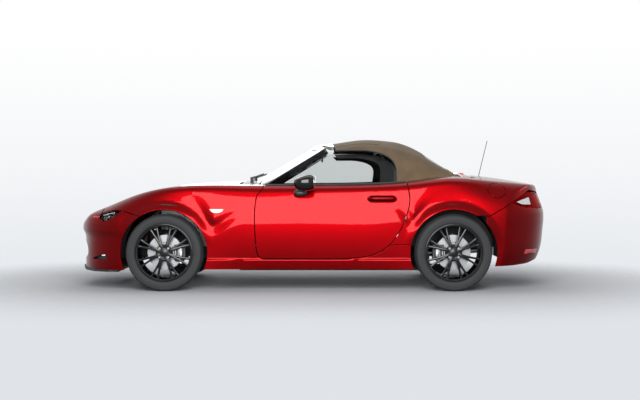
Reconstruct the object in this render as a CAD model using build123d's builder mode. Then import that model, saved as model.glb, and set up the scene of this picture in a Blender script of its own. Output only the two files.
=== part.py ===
"""Two-seat convertible car with a closed cloth roof, built as separate panels, trim and running gear.

Frame: X runs rearwards, Y to the car's right, Z up. The origin lies on the floor under the middle of the car.
Sizes are in millimetres. Panels are cut from one lofted body envelope by side-view and plan-view outlines.
"""
import os
from collections import namedtuple
from math import cos, radians, sin

from build123d import *

os.makedirs("parts", exist_ok=True)

# ---------------------------------------------------------------- driving dimensions
LENGTH = 3915
WIDTH = 1735
WHEELBASE = 2310
FRONT_OVERHANG = 770
TRACK_FRONT = 1495
TRACK_REAR = 1505
TYRE_RADIUS = 308
TYRE_WIDTH = 205
RIM_RADIUS = 216  # the bead seat of a 17 inch rim
ARCH_RADIUS = 350
SKIN = 26  # outer panels, with their inner frames
DOOR_INNER_Y = 722  # the inner face of the door trim
SHUT_GAP = 6  # round every panel that opens
DOOR_FRONT_GAP = 9  # wider, because the door's front edge swings in behind the wing
SEAM = 0.4  # between fixed panels that butt together
RUNNING = 0.3  # radial clearance of a pin in its bore

NOSE_X = -LENGTH / 2
TAIL_X = LENGTH / 2
FRONT_AXLE_X = NOSE_X + FRONT_OVERHANG
REAR_AXLE_X = FRONT_AXLE_X + WHEELBASE
HUB_Z = TYRE_RADIUS
WIDE = WIDTH / 2
FAR = 2 * WIDTH  # longer than anything it cuts

# ---------------------------------------------------------------- body envelope
# Each station is one cross-section: half-widths (y) and heights (z) at the sill, the widest point,
# the shoulder crest and the middle of the top, and the crest's rounding radius.
Station = namedtuple("Station", "x y_low z_low y_wide z_wide y_crest z_crest z_mid r_crest")
STATIONS = [
    Station(-1960, 700, 195, 716, 340, 610, 458, 484, 50),
    Station(-1860, 745, 185, 764, 370, 628, 566, 590, 60),
    Station(-1700, 800, 175, 818, 420, 646, 644, 672, 70),
    Station(-1540, 830, 168, 846, 470, 660, 706, 738, 80),
    Station(FRONT_AXLE_X, 846, 164, WIDE - 4, 670, 730, 796, 830, 60),
    Station(-700, 836, 164, 852, 560, 735, 828, 870, 60),
    Station(-100, 830, 164, 850, 540, 775, 826, 876, 45),
    Station(600, 832, 164, 853, 540, 778, 838, 886, 45),
    Station(REAR_AXLE_X, 846, 170, WIDE, 680, 758, 880, 934, 60),
    Station(1500, 826, 186, 848, 560, 694, 852, 908, 70),
    Station(1800, 790, 206, 810, 590, 650, 826, 864, 60),
    Station(1960, 745, 230, 765, 600, 610, 800, 838, 50),
]


def cross_section(s, side, floor, roof):
    """One closed section of the body, drawn inwards by side, up by floor and down by roof."""
    low = (s.y_low - side, s.z_low + floor)
    wide = (s.y_wide - side, s.z_wide)
    crest = (s.y_crest - side, s.z_crest - roof)
    with BuildSketch(Plane(origin=(s.x, 0, 0), x_dir=(0, 1, 0), z_dir=(1, 0, 0))) as profile:
        with BuildLine():
            ThreePointArc((-crest[0], crest[1]), (0, s.z_mid - roof), crest)
            for sign in (1, -1):
                TangentArc((sign * wide[0], wide[1]), (sign * crest[0], crest[1]), tangent=(0, 1))
                TangentArc((sign * wide[0], wide[1]), (sign * low[0], low[1]), tangent=(0, -1))
            Line((-low[0], low[1]), low)
        make_face()
        fillet(profile.vertices().group_by(Axis.Y)[-1], s.r_crest)
    return profile.sketch


def body_loft(side, floor, roof):
    """The body without its rounded nose and tail."""
    with BuildPart() as loft_part:
        for station in STATIONS:
            add(cross_section(station, side, floor, roof))
        loft()
    return loft_part.part


def side_plane(y):
    """A plane seen from the car's left: sketch x is the car's X, sketch y is Z, and it faces -Y."""
    return Plane(origin=(0, y, 0), x_dir=(1, 0, 0), z_dir=(0, -1, 0))


def side_outline(wall):
    """The car's lengthwise silhouette below the roof, which shapes the nose and the tail."""
    with BuildSketch(side_plane(FAR / 2)) as outline:
        with BuildLine():
            Polyline((NOSE_X + 24, 1100), (NOSE_X + 24, 600), (NOSE_X, 480), (NOSE_X + 26, 430),
                     (NOSE_X + 26, 100),
                     (1500, 100), (1500, 190))
            ThreePointArc((1500, 190), (1730, 212), (TAIL_X - 52, 262))
            Polyline((TAIL_X - 52, 262), (TAIL_X - 26, 340), (TAIL_X, 610), (TAIL_X - 70, 836),
                     (TAIL_X - 70, 1100),
                     (NOSE_X + 24, 1100))
        make_face()
        if wall:
            offset(amount=-wall)
    return outline.sketch


def plan_outline(wall):
    """The car from above, which rounds the nose and the tail."""
    with BuildSketch() as outline:
        with BuildLine():
            ThreePointArc((NOSE_X + 100, 600), (NOSE_X, 0), (NOSE_X + 100, -600))
            ThreePointArc((TAIL_X - 100, 600), (TAIL_X, 0), (TAIL_X - 100, -600))
            for sign in (1, -1):
                ThreePointArc((NOSE_X + 100, sign * 600), (NOSE_X + 222, sign * 748),
                              (NOSE_X + 470, sign * 880))
                ThreePointArc((TAIL_X - 100, sign * 600), (TAIL_X - 222, sign * 738),
                              (TAIL_X - 480, sign * 880))
                Line((NOSE_X + 470, sign * 880), (TAIL_X - 480, sign * 880))
        make_face()
        if wall:
            offset(amount=-wall)
    return outline.sketch


def envelope(wall):
    """The body, shrunk inwards by a wall thickness all round."""
    with BuildPart() as body:
        add(body_loft(wall, wall, wall))
        extrude(side_outline(wall), amount=FAR, mode=Mode.INTERSECT)
        extrude(plan_outline(wall), amount=1200, mode=Mode.INTERSECT)
    return body.part


# ---------------------------------------------------------------- small builders
SIDE = Plane(origin=(0, 0, 0), x_dir=(1, 0, 0), z_dir=(0, -1, 0))
FRONT = Plane(origin=(0, 0, 0), x_dir=(0, 1, 0), z_dir=(1, 0, 0))
PLAN = Plane(origin=(0, 0, 0), x_dir=(1, 0, 0), z_dir=(0, 0, 1))


def prism(plane, points, start, end, grow=0):
    """A polygon extruded between two distances along a plane's normal."""
    with BuildPart() as solid:
        with BuildSketch(plane.offset(start)):
            with BuildLine():
                Polyline(*points, close=True)
            make_face()
            if grow:
                offset(amount=grow, kind=Kind.INTERSECTION)
        extrude(amount=end - start)
    return solid.part


def side_prism(points, y_from=-FAR, y_to=FAR, grow=0):
    """Side-view points (x, z) extruded across the car."""
    return prism(SIDE, points, -y_to, -y_from, grow)


def front_prism(points, x_from=-FAR, x_to=FAR, grow=0):
    """Front-view points (y, z) extruded along the car."""
    return prism(FRONT, points, x_from, x_to, grow)


def plan_prism(points, z_from=0, z_to=1500, grow=0):
    """Plan-view points (x, y) extruded upwards."""
    return prism(PLAN, points, z_from, z_to, grow)


def both(points):
    """A right-hand plan outline from the middle line outwards, closed by its mirror image."""
    return points + [(x, -y) for x, y in reversed(points) if y]


def block(x_from, x_to, y_from, y_to, z_from, z_to):
    """A plain box by its limits."""
    return plan_prism([(x_from, y_from), (x_to, y_from), (x_to, y_to), (x_from, y_to)], z_from, z_to)


def rod(start, end, radius):
    """A round bar between two points."""
    with BuildPart() as bar:
        with BuildSketch(Plane(origin=start, z_dir=Vector(*end) - Vector(*start))):
            Circle(radius)
        extrude(amount=(Vector(*end) - Vector(*start)).length)
    return bar.part


def pair(shape):
    """A right-hand shape and its left-hand mirror image."""
    return [shape, mirror(shape, about=Plane.XZ)]


def fuse(*shapes):
    """Touching shapes joined into one."""
    with BuildPart() as joined:
        for shape in shapes:
            for piece in shape if isinstance(shape, list) else [shape]:
                add(piece)
    return joined.part


def wheel_cylinder(axle_x, radius, y_from, y_to):
    """A cylinder across the car about an axle."""
    return rod((axle_x, y_from, HUB_Z), (axle_x, y_to, HUB_Z), radius)


# ---------------------------------------------------------------- outlines of the panels
DOOR = [(-398, 1000), (-398, 824), (-446, 776), (-462, 673), (-464, 545), (-452, 354), (-434, 264),
        (231, 262),
        (421, 276), (534, 314), (611, 371), (688, 473), (739, 587), (768, 700), (766, 790), (752, 840),
        (752, 1000)]
DOOR_OPENING_SHIFT = DOOR_FRONT_GAP - SHUT_GAP
BONNET = [(-1752, 0), (-1740, 260), (-1700, 450), (-1634, 590), (-1500, 612), (-1190, 632), (-600, 642),
          (-600, 0)]
SCUTTLE = [(-590, 0), (-590, 648), (-402, 690), (-449, 640), (-470, 0)]
CABIN = [(-470, 0), (-449, 640), (-402, 690), (600, 700), (760, 690), (852, 674), (1040, 624), (1226, 590),
         (1242, 560), (1250, 0)]
BUMPER_FRONT = [(-2000, 100), (-2000, 900), (-1660, 900), (-1660, 660), (-1505, 650), (-1390, 600),
                (-1390, 100)]
HEADLAMP = [(-1850, 552), (-1740, 600), (-1600, 640), (-1505, 652), (-1516, 620), (-1660, 558), (-1760, 536),
            (-1850, 530)]
TAIL_LAMP = [(1580, 705), (1713, 790), (1740, 808), (1800, 790), (1880, 760), (1890, 668), (1810, 661),
             (1681, 670), (1608, 682)]
BUMPER_REAR = [(1380, 100), (1380, 599), (1563, 700), (2000, 700), (2000, 100)]
BOOT_LID = [(1300, 0), (1304, 540), (1330, 560), (1760, 520), (1900, 470), (2000, 460), (2000, 0)]
SILL_TOP = 257
QUARTER_X = 640

# ---------------------------------------------------------------- outer panels
outer = envelope(0)
core = envelope(SKIN)
arches = fuse(wheel_cylinder(FRONT_AXLE_X, ARCH_RADIUS, -FAR, -420),
              wheel_cylinder(FRONT_AXLE_X, ARCH_RADIUS, 420, FAR),
              wheel_cylinder(REAR_AXLE_X, ARCH_RADIUS - 5, -FAR, -420),
              wheel_cylinder(REAR_AXLE_X, ARCH_RADIUS - 5, 420, FAR))
skin = outer - core - arches

bonnet_outline = both(BONNET)
boot_outline = both(BOOT_LID)
cabin_outline = both(CABIN)
door_opening = fuse(side_prism(DOOR, grow=SHUT_GAP),
                    side_prism([(x - DOOR_OPENING_SHIFT, z) for x, z in DOOR], grow=SHUT_GAP))
headlamp_cut = side_prism(HEADLAMP, 420, FAR) + side_prism(HEADLAMP, -FAR, -420)
tail_lamp_cut = side_prism(TAIL_LAMP, 440, FAR) + side_prism(TAIL_LAMP, -FAR, -440)

floor_line = block(-FAR, FAR, -FAR, FAR, 0, SILL_TOP)
closed = skin - plan_prism(cabin_outline, 600, 1100)  # without the hole over the seats

bonnet = skin & plan_prism(bonnet_outline, 500, 1000)
scuttle = closed & plan_prism(both(SCUTTLE), 600, 1000)
around_bonnet = plan_prism(bonnet_outline, 500, 1000, grow=SHUT_GAP)

bumper_front = skin & side_prism(BUMPER_FRONT)
bumper_front = bumper_front - around_bonnet - headlamp_cut
headlamps = (skin & headlamp_cut) - around_bonnet

front_half = block(-FAR, 0, -FAR, FAR, 0, 1000)
wings_front = (closed & front_half) - side_prism(BUMPER_FRONT, grow=SEAM) - around_bonnet - headlamp_cut
wings_front = wings_front - plan_prism(both(SCUTTLE), 600, 1000, grow=SEAM) - door_opening
wings_front = wings_front - block(-465 + SEAM, 0, -FAR, FAR, 0, 1000) - block(-FAR, 0, -700, 700, 0, 300)
wings_front = wings_front - block(-605, -585, -648, 648, 700, 1000)  # the slot between bonnet and scuttle

sills = (closed & floor_line & block(-465 + 2 * SEAM, QUARTER_X, -FAR, FAR, 0, 1000)) - door_opening
sills = sills - block(-FAR, FAR, -600, 600, 0, 1000)

rear_half = block(QUARTER_X + SEAM, FAR, -FAR, FAR, 0, 1100)
rear = (closed & rear_half) - door_opening
around_boot = plan_prism(boot_outline, 706, 1100, grow=SHUT_GAP)
boot_lid = rear & plan_prism(boot_outline, 712, 1100)
deck = plan_prism([(1180, -600), (1288, -600), (1288, 600), (1180, 600)], 600, 1100)
deck_rear = (rear & deck) - around_boot
bumper_rear = (rear & side_prism(BUMPER_REAR)) - around_boot
quarters_rear = rear - side_prism(BUMPER_REAR, grow=SEAM) - around_boot - tail_lamp_cut
quarters_rear = quarters_rear - plan_prism([(1180, -600), (1400, -600), (1400, 600), (1180, 600)], 600, 1100,
                                           grow=SEAM)
quarters_rear = quarters_rear - block(0, 1400, -700, 700, 0, 300)
bumper_rear = bumper_rear - tail_lamp_cut - block(1300, 1880, -700, 700, 0, 300)
bumper_rear = bumper_rear - block(1700, FAR, 415, 615, 0, 294)
tail_lamps = (rear & tail_lamp_cut) - around_boot

# ---------------------------------------------------------------- doors, with their glass and mirrors
HINGE_X, HINGE_Y = -370, 828
HINGE_HEIGHTS = (360, 620)
PIN_RADIUS = 8
BORE_RADIUS = PIN_RADIUS + RUNNING
HINGE_EYE = 11
HINGE_PLATE = 8
DOOR_CLEARANCE = 5

door_region = side_prism(DOOR, 500, FAR) & front_prism([(DOOR_INNER_Y, 200), (DOOR_INNER_Y, 600), (690, 760),
                                                        (690, 1000), (FAR, 1000), (FAR, 200)])
door = outer & door_region
GLASS = [(-270, 800), (-270, 850), (128, 1122), (300, 1128), (445, 1126), (560, 1100), (630, 1050),
         (655, 990), (655, 800)]
GLASS_LEAN = [(731, 800), (736, 800), (561, 1130), (556, 1130)]
door_glass = (side_prism(GLASS, 400, FAR) & front_prism(GLASS_LEAN)) - outer
for z in HINGE_HEIGHTS:
    pocket = rod((HINGE_X, HINGE_Y, z - HINGE_PLATE / 2 - DOOR_CLEARANCE),
                 (HINGE_X, HINGE_Y, z + HINGE_PLATE / 2 + DOOR_CLEARANCE), HINGE_EYE + DOOR_CLEARANCE)
    sweep_angles = [radians(a) for a in (188, 214, 240, 262, 284)]
    wedge = [(HINGE_X, HINGE_Y)] + [(HINGE_X + 190 * cos(a), HINGE_Y + 190 * sin(a)) for a in sweep_angles]
    low, high = z - HINGE_PLATE / 2 - DOOR_CLEARANCE, z + HINGE_PLATE / 2 + DOOR_CLEARANCE
    door = door - pocket - plan_prism(wedge, low, high) - block(HINGE_X - 20, HINGE_X + 13, 600, HINGE_Y, low,
                                                                high)
    door = door - rod((HINGE_X, HINGE_Y, z - 35), (HINGE_X, HINGE_Y, z + 35), BORE_RADIUS)
mirror_head = block(-150, 12, 845, 1005, 800, 935)
mirror_head = fillet(mirror_head.edges().filter_by(Axis.Y), 45)
mirror_head = fillet(mirror_head.faces().sort_by(Axis.Y)[-1].edges(), 30)
mirror_foot = block(-140, -60, 745, 880, 822, 850) - outer
mirror_right = fuse(mirror_head, mirror_foot)

# ---------------------------------------------------------------- hinge plates on the pillars
PILLAR_BACK = -478
hinge_plates = []
for z in HINGE_HEIGHTS:
    low = z - HINGE_PLATE / 2
    plate = fuse(rod((HINGE_X, HINGE_Y, low), (HINGE_X, HINGE_Y, low + HINGE_PLATE), HINGE_EYE),
                 block(HINGE_X - 7, HINGE_X + 7, 695, HINGE_Y, low, low + HINGE_PLATE),
                 block(PILLAR_BACK, HINGE_X, 695, 710, low, low + HINGE_PLATE),
                 rod((HINGE_X, HINGE_Y, z - 34), (HINGE_X, HINGE_Y, z + 34), PIN_RADIUS))
    hinge_plates += pair(plate)

# ---------------------------------------------------------------- tub
TUNNEL = 112
tub_pieces = [
    block(-600, 860, -599.6, -TUNNEL, 150, 172), block(-600, 860, TUNNEL, 599.6, 150, 172),
    block(-600, 860, -TUNNEL - 8, -TUNNEL, 150, 360), block(-600, 860, TUNNEL, TUNNEL + 8, 150, 360),
    block(-600, 860, -TUNNEL, TUNNEL, 352, 360),
    block(-620, -600, -680, 680, 191, 800),
    block(840, 860, -418, -TUNNEL, 150, 740), block(840, 860, TUNNEL, 418, 150, 740),
    block(840, 860, -TUNNEL, TUNNEL, 352, 740), block(840, 860, -640, 640, 620, 700),
    block(860, 1840, -410, 410, 400, 420),
]
for side in (1, -1):
    for x_from, x_to, y_in, y_out, z_from, z_to in (
        (-600, 700, 540, 599.6, 150, 250),  # rocker
        (-600, PILLAR_BACK, 560, 790, 191, 690),  # hinge pillar
        (-1860, -600, 360, 410, 250, 330),  # front rail
        (-640, -600, 360, 410, 150, 330),  # front rail's foot
        (-1360, -1015, 360, 410, 330, 470),  # front spring tower
        (780, 840, 672, 760, 620, 740),  # lock pillar, outboard of the roof's link
        (780, 840, 600, 672, 620, 690),  # and under the link
        (860, 1860, 360, 410, 330, 420),  # rear rail
        (950, 1295, 360, 410, 420, 470),  # rear spring tower
    ):
        y_from, y_to = sorted((y_in * side, y_out * side))
        tub_pieces.append(block(x_from, x_to, y_from, y_to, z_from, z_to))
floor_pan = fuse(*tub_pieces)
ROOF_PIVOT = (760, 720)
ROOF_KNEE = (550, 1120)
for side in (1, -1):
    bracket = fuse(block(742, 800, min(662 * side, 672 * side), max(662 * side, 672 * side), 650, 738),
                   rod((ROOF_PIVOT[0], 672 * side, ROOF_PIVOT[1]), (ROOF_PIVOT[0], 632 * side, ROOF_PIVOT[1]),
                       PIN_RADIUS))
    floor_pan = fuse(floor_pan, bracket)

engine = fuse(block(-1290, -660, -230, 230, 240, 700), block(-1000, -920, -360, 360, 270, 310))

# ---------------------------------------------------------------- screen, roof and rear window
def arc_band(z, x_middle, x_side, y_side, depth):
    """A curved band across the car at one height, as deep as its depth along X."""
    with BuildSketch(Plane.XY.offset(z)) as band:
        with BuildLine():
            ThreePointArc((x_side, -y_side), (x_middle, 0), (x_side, y_side))
            Line((x_side, y_side), (x_side + depth, y_side))
            ThreePointArc((x_side + depth, y_side), (x_middle + depth, 0), (x_side + depth, -y_side))
            Line((x_side + depth, -y_side), (x_side, -y_side))
        make_face()
    return band.sketch


SCREEN_BASE = 838
SCREEN_TOP = 1200  # above the header's crown, which trims it


def screen_slab(depth, shift):
    """The leaning screen between the scuttle and the header."""
    with BuildPart() as slab:
        add(arc_band(SCREEN_BASE, -571 + shift, -408 + shift, 671, depth))
        add(arc_band(SCREEN_TOP, 58 + shift, 183 + shift, 493, depth))
        loft()
    return slab.part


SCREEN_HOLE = [(-590, 820), (590, 820), (432, 1138), (-432, 1138)]
with BuildPart() as header_crown:
    with BuildSketch(FRONT.offset(-900)):
        with BuildLine():
            ThreePointArc((-690, 1127), (0, 1186), (690, 1127))
            Polyline((690, 1127), (690, 700), (-690, 700), (-690, 1127))
        make_face()
    extrude(amount=1300)
windscreen_frame = (screen_slab(48, 0) & header_crown.part) - front_prism(SCREEN_HOLE, -900, 300)
windscreen = (screen_slab(10, 14) & front_prism(SCREEN_HOLE, -900, 300, grow=-SEAM)) - outer

# Each roof section: x, then heights and half-widths of its base, its edge and its crown.
RoofSection = namedtuple("RoofSection", "x z_base y_base z_edge y_edge z_top")
ROOF = [
    RoofSection(20, 832, 690, 1128, 500, 1180),
    RoofSection(190, 836, 690, 1142, 520, 1200),
    RoofSection(405, 840, 690, 1150, 535, 1232),
    RoofSection(684, 848, 680, 1132, 540, 1214),
    RoofSection(852, 862, 660, 1075, 520, 1177),
    RoofSection(1040, 880, 610, 965, 520, 1040),
    RoofSection(1215, 892, 566, 906, 520, 934),
]
ROOF_SKIN = 12
PANEL_END = 556
BOW_GAP = 0.4


def roof_loft(inset):
    """The cloth roof's outer form, or its inside when inset."""
    with BuildPart() as form:
        for s in ROOF:
            edge = (s.y_edge - inset, s.z_edge - inset)
            base = (s.y_base - inset, s.z_base - 3 * inset)
            with BuildSketch(Plane(origin=(s.x, 0, 0), x_dir=(0, 1, 0), z_dir=(1, 0, 0))):
                with BuildLine():
                    ThreePointArc((-edge[0], edge[1]), (0, s.z_top - inset), edge)
                    Polyline(edge, base, (-base[0], base[1]), (-edge[0], edge[1]))
                make_face()
        loft()
    return form.part


SIDE_WINDOW = [(0, 700), (0, 1132), (447, 1134), (571, 1108), (647, 1059), (677, 996), (677, 700)]
REAR_WINDOW = [(925, -410), (1125, -430), (1125, 430), (925, 410)]
side_windows = side_prism(SIDE_WINDOW, 400, FAR) + side_prism(SIDE_WINDOW, -FAR, -400)
roof_shell = (roof_loft(0) - roof_loft(ROOF_SKIN)) - side_windows
with BuildPart() as behind_header:
    add(arc_band(1000, 84, 331, 700, 700))
    extrude(amount=400)
roof_panel = (roof_shell & behind_header.part) & block(-FAR, PANEL_END, -FAR, FAR, 1000, 1400)
soft_top = roof_shell & block(PANEL_END + BOW_GAP, FAR, -FAR, FAR, 700, 1400)
rear_window = soft_top & plan_prism(REAR_WINDOW, 700, 1400, grow=-SEAM)
soft_top = soft_top - plan_prism(REAR_WINDOW, 700, 1400)

link_pieces = []
for side in (1, -1):
    foot = (ROOF_PIVOT[0], 640 * side, ROOF_PIVOT[1])
    knee = (ROOF_KNEE[0], 460 * side, ROOF_KNEE[1])
    eye = rod((ROOF_PIVOT[0], 634 * side, ROOF_PIVOT[1]), (ROOF_PIVOT[0], 650 * side, ROOF_PIVOT[1]), 16)
    bore = rod((ROOF_PIVOT[0], 600 * side, ROOF_PIVOT[1]), (ROOF_PIVOT[0], 700 * side, ROOF_PIVOT[1]),
               BORE_RADIUS)
    link_pieces.append(fuse(eye, rod(foot, knee, 9)) - bore)
knee_bar = rod((ROOF_KNEE[0], -460, ROOF_KNEE[1]), (ROOF_KNEE[0], 460, ROOF_KNEE[1]), 9)
roof_link = fuse(link_pieces, knee_bar)

# ---------------------------------------------------------------- running gear
SPINDLE = 30
HUB_FACE = 50  # the wheel's mounting face stands this far outboard of its middle plane
SPOKE_PAIRS = 8


def turned(points, axle_x, y_middle):
    """A profile (distance outboard of the wheel's middle, radius) turned about the axle."""
    with BuildPart() as body:
        with BuildSketch(Plane(origin=(axle_x, y_middle, HUB_Z), x_dir=(0, 1, 0), z_dir=(-1, 0, 0))):
            with BuildLine():
                Polyline(*points, close=True)
            make_face()
        revolve(axis=Axis((axle_x, 0, HUB_Z), (0, 1, 0)))
    return body.part


TYRE_BORE = RIM_RADIUS + 1
TYRE = [(-87, TYRE_BORE), (-87, 230), (-99, 238), (-TYRE_WIDTH / 2, 262), (-97, 290), (-82, 303),
        (-40, TYRE_RADIUS),
        (40, TYRE_RADIUS), (82, 303), (97, 290), (TYRE_WIDTH / 2, 262), (99, 238), (89, 230), (89, TYRE_BORE)]
BARREL = [(-94, 229), (-88, 229), (-88, TYRE_BORE - RUNNING), (90, TYRE_BORE - RUNNING), (90, 229), (96, 229),
          (96, 212), (84, 204), (-84, 204),
          (-94, 212)]
HAT = [(-8, 76), (-8, 140), (14, 140), (14, 76), (HUB_FACE, 76), (HUB_FACE, 31), (HUB_FACE - 8, 31),
       (HUB_FACE - 8, 66), (14, 66), (6, 66), (6, 76)]


def rim(axle_x, y_middle):
    """A light wheel: a turned barrel, a hub and spokes set in pairs."""
    barrel = turned(BARREL, axle_x, y_middle)
    hub = turned([(HUB_FACE, 1), (HUB_FACE, 78), (HUB_FACE + 34, 70), (HUB_FACE + 34, 1)], axle_x, y_middle)
    spokes = []
    for k in range(SPOKE_PAIRS):
        for spread in (-7.5, 7.5):
            foot = radians(24 + 360 / SPOKE_PAIRS * k + spread * 0.25)
            tip = radians(24 + 360 / SPOKE_PAIRS * k + spread)
            with BuildPart() as spoke:
                for radius, angle, width, low in ((55, foot, 16, HUB_FACE + 4),
                                                  (212, tip, 11, HUB_FACE + 14)):
                    centre = Vector(axle_x + radius * cos(angle), y_middle + low, HUB_Z + radius * sin(angle))
                    with BuildSketch(Plane(origin=centre, x_dir=(-sin(angle), 0, cos(angle)),
                                           z_dir=(cos(angle), 0, sin(angle)))):
                        Rectangle(width, 24, align=(Align.CENTER, Align.MAX))
                loft()
            spokes.append(spoke.part)
    bore = rod((axle_x, y_middle, HUB_Z), (axle_x, y_middle + HUB_FACE + 31, HUB_Z), SPINDLE + RUNNING)
    return fuse(barrel, hub, spokes) - bore


wheels = {}
for corner, axle_x, track in (("front", FRONT_AXLE_X, TRACK_FRONT), ("rear", REAR_AXLE_X, TRACK_REAR)):
    y = track / 2
    one_rim = rim(axle_x, y)
    one_tyre = turned(TYRE, axle_x, y)
    one_disc = turned(HAT, axle_x, y)
    for name, shape in (("rim", one_rim), ("tyre", one_tyre), ("disc", one_disc)):
        wheels[name + "_" + corner + "_right"], wheels[name + "_" + corner + "_left"] = pair(shape)

# ---------------------------------------------------------------- knuckles, brakes and suspension
KINGPIN_Y = 677
BALL_LOW, BALL_HIGH = 190, 430
BALL_RADIUS = 10


def knuckle(axle_x, y_middle, caliper_side):
    """An upright with its spindle and its brake caliper."""
    y_face = y_middle - 14
    post = rod((axle_x, KINGPIN_Y, BALL_LOW + 4), (axle_x, KINGPIN_Y, BALL_HIGH - 4), 22)
    flange = rod((axle_x, KINGPIN_Y, HUB_Z), (axle_x, y_face, HUB_Z), 52)
    spindle = rod((axle_x, y_face, HUB_Z), (axle_x, y_middle + HUB_FACE + 30, HUB_Z), SPINDLE)
    x = axle_x + caliper_side * 118
    arm = block(min(axle_x, x), max(axle_x, x), y_face - 16, y_face, HUB_Z - 30, HUB_Z + 30)
    body = block(x - 45, x + 45, y_face - 26, y_middle + 34, HUB_Z - 62, HUB_Z + 62)
    slot = turned([(-14, 0), (-14, 146), (20, 146), (20, 0)], axle_x, y_middle)
    caliper = (body & wheel_cylinder(axle_x, 176, y_face - 40, y_middle + 60)) - slot
    caliper = caliper - wheel_cylinder(axle_x, 92, y_middle - 30, y_middle + 60)
    holes = fuse(rod((axle_x, KINGPIN_Y, 0), (axle_x, KINGPIN_Y, BALL_LOW + 44), BALL_RADIUS + RUNNING),
                 rod((axle_x, KINGPIN_Y, BALL_HIGH - 44), (axle_x, KINGPIN_Y, 600), BALL_RADIUS + RUNNING))
    return fuse(post, flange, spindle, arm, caliper) - holes


upright_front_right, upright_front_left = pair(knuckle(FRONT_AXLE_X, TRACK_FRONT / 2, 1))
uprights_rear = pair(knuckle(REAR_AXLE_X, TRACK_REAR / 2, -1))

ARM_RADIUS = 11
RAIL_FACE = 410 + SEAM
suspension = []
for axle_x in (FRONT_AXLE_X, REAR_AXLE_X):
    for ball_z, pin_end, rail_z in ((BALL_LOW - 18, BALL_LOW + 40, 270),
                                    (BALL_HIGH + 16, BALL_HIGH - 40, BALL_HIGH + 16)):
        ball = (axle_x, KINGPIN_Y, ball_z)
        arms = [rod((axle_x + reach, 380, rail_z), ball, ARM_RADIUS) for reach in (-150, 150)]
        ball_pin = rod(ball, (axle_x, KINGPIN_Y, pin_end), BALL_RADIUS)
        eye = rod((axle_x, KINGPIN_Y, ball_z - ARM_RADIUS), (axle_x, KINGPIN_Y, ball_z + ARM_RADIUS), 20)
        suspension += pair(fuse(arms, ball_pin, eye) & block(-FAR, FAR, RAIL_FACE, FAR, 0, 1000))

# ---------------------------------------------------------------- wheelhouse liners
LINER_RADIUS = 380
wheel_liners = []
for axle_x in (FRONT_AXLE_X, REAR_AXLE_X):
    for side in (1, -1):
        y_from, y_to = (420, 900) if side > 0 else (-900, -420)
        ring = wheel_cylinder(axle_x, LINER_RADIUS + 8, y_from, y_to) - wheel_cylinder(axle_x, LINER_RADIUS,
                                                                                       y_from, y_to)
        ring = ring & block(-FAR, FAR, -FAR, FAR, 260, 1000)
        wheel_liners.append(ring & core)

# ---------------------------------------------------------------- cabin
dashboard = block(PILLAR_BACK, -240, -660, 660, 520, 790)
dashboard = fillet(dashboard.edges().filter_by(Axis.Y).sort_by(Axis.X)[-2:], 70)
console = block(-300, 560, -105, 105, 362, 470)
dashboard = fuse(dashboard, console, block(-420, -300, -105, 105, 362, 560))
STEERING = (-30, -365, 700)
COLUMN_LEAN = 22
column = Vector(-cos(radians(COLUMN_LEAN)), 0, -sin(radians(COLUMN_LEAN)))
steering_centre = Vector(*STEERING)
with BuildPart() as steering_wheel:
    with Locations(Plane(origin=steering_centre, x_dir=(0, 1, 0), z_dir=-column).location):
        Torus(170, 15)
        Cylinder(48, 40)
        for angle in (0, 180, 270):
            with Locations(Rotation(0, 0, angle)):
                Box(162, 24, 12, align=(Align.MIN, Align.CENTER, Align.CENTER))
column_end = steering_centre + column * 300
steering_wheel = fuse(steering_wheel.part, rod(tuple(steering_centre), tuple(column_end), 18))
dashboard = dashboard - rod(tuple(steering_centre), tuple(steering_centre + column * 310), 18 + RUNNING)

seats = []
for side in (1, -1):
    y = 355 * side
    cushion = block(150, 610, y - 225, y + 225, 252, 350)
    cushion = fillet(cushion.edges(), 40)
    back = side_prism([(540, 290), (630, 270), (670, 350), (696, 640), (698, 860), (634, 860), (530, 420)],
                      y - 200, y + 200)
    head = block(628, 698, y - 130, y + 130, 862, 985)
    head = fillet(head.edges(), 25)
    rails = block(250, 600, y - 180, y - 160, 172, 256) + block(250, 600, y + 160, y + 180, 172, 256)
    neck = block(652, 672, y - 60, y + 60, 840, 880)
    seats += [fuse(cushion, back, head, rails, neck)]

HOOP_X, HOOP_TUBE = 722, 12
hoop_pieces = []
for side in (1, -1):
    for y in (200, 500):
        hoop_pieces.append(rod((HOOP_X, y * side, 694), (HOOP_X, y * side, 890), HOOP_TUBE))
        hoop_pieces.append(rod((HOOP_X, y * side, 694), (840, y * side, 694), HOOP_TUBE))
    hoop_pieces.append(rod((HOOP_X, 188 * side, 890), (HOOP_X, 512 * side, 890), HOOP_TUBE))
    hoop_pieces.append(rod((HOOP_X, 188 * side, 694), (HOOP_X, 512 * side, 694), HOOP_TUBE))
roll_hoops = fuse(*hoop_pieces) & block(0, 840, -FAR, FAR, 0, 1000)

# ---------------------------------------------------------------- front and rear trim, exhaust, wipers, aerial
MOUTH = [(-520, 262), (-600, 300), (-560, 372), (-420, 420), (420, 420), (560, 372), (600, 300), (520, 262)]
bumper_front = bumper_front - front_prism(MOUTH, -FAR, -1700)
grille = (skin & front_prism(MOUTH, -FAR, -1700, grow=-SEAM)) & block(-1942, FAR, -FAR, FAR, 0, 1000)
LIP = [(-1950, 0), (-1930, 300), (-1870, 520), (-1770, 690), (-1640, 770), (-1560, 770), (-1560, 0)]
lip_front = plan_prism(both(LIP), 150, 176) - outer
exhaust = fuse(rod((-600, 0, 250), (900, 0, 250), 28), rod((900, 0, 250), (1330, 300, 250), 28),
               rod((1330, 300, 250), (1560, 370, 262), 28), block(1530, 1780, 250, 600, 215, 330),
               rod((1770, 470, 250), (1945, 470, 250), 38), rod((1770, 560, 250), (1945, 560, 250), 38))
wipers = []
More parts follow.
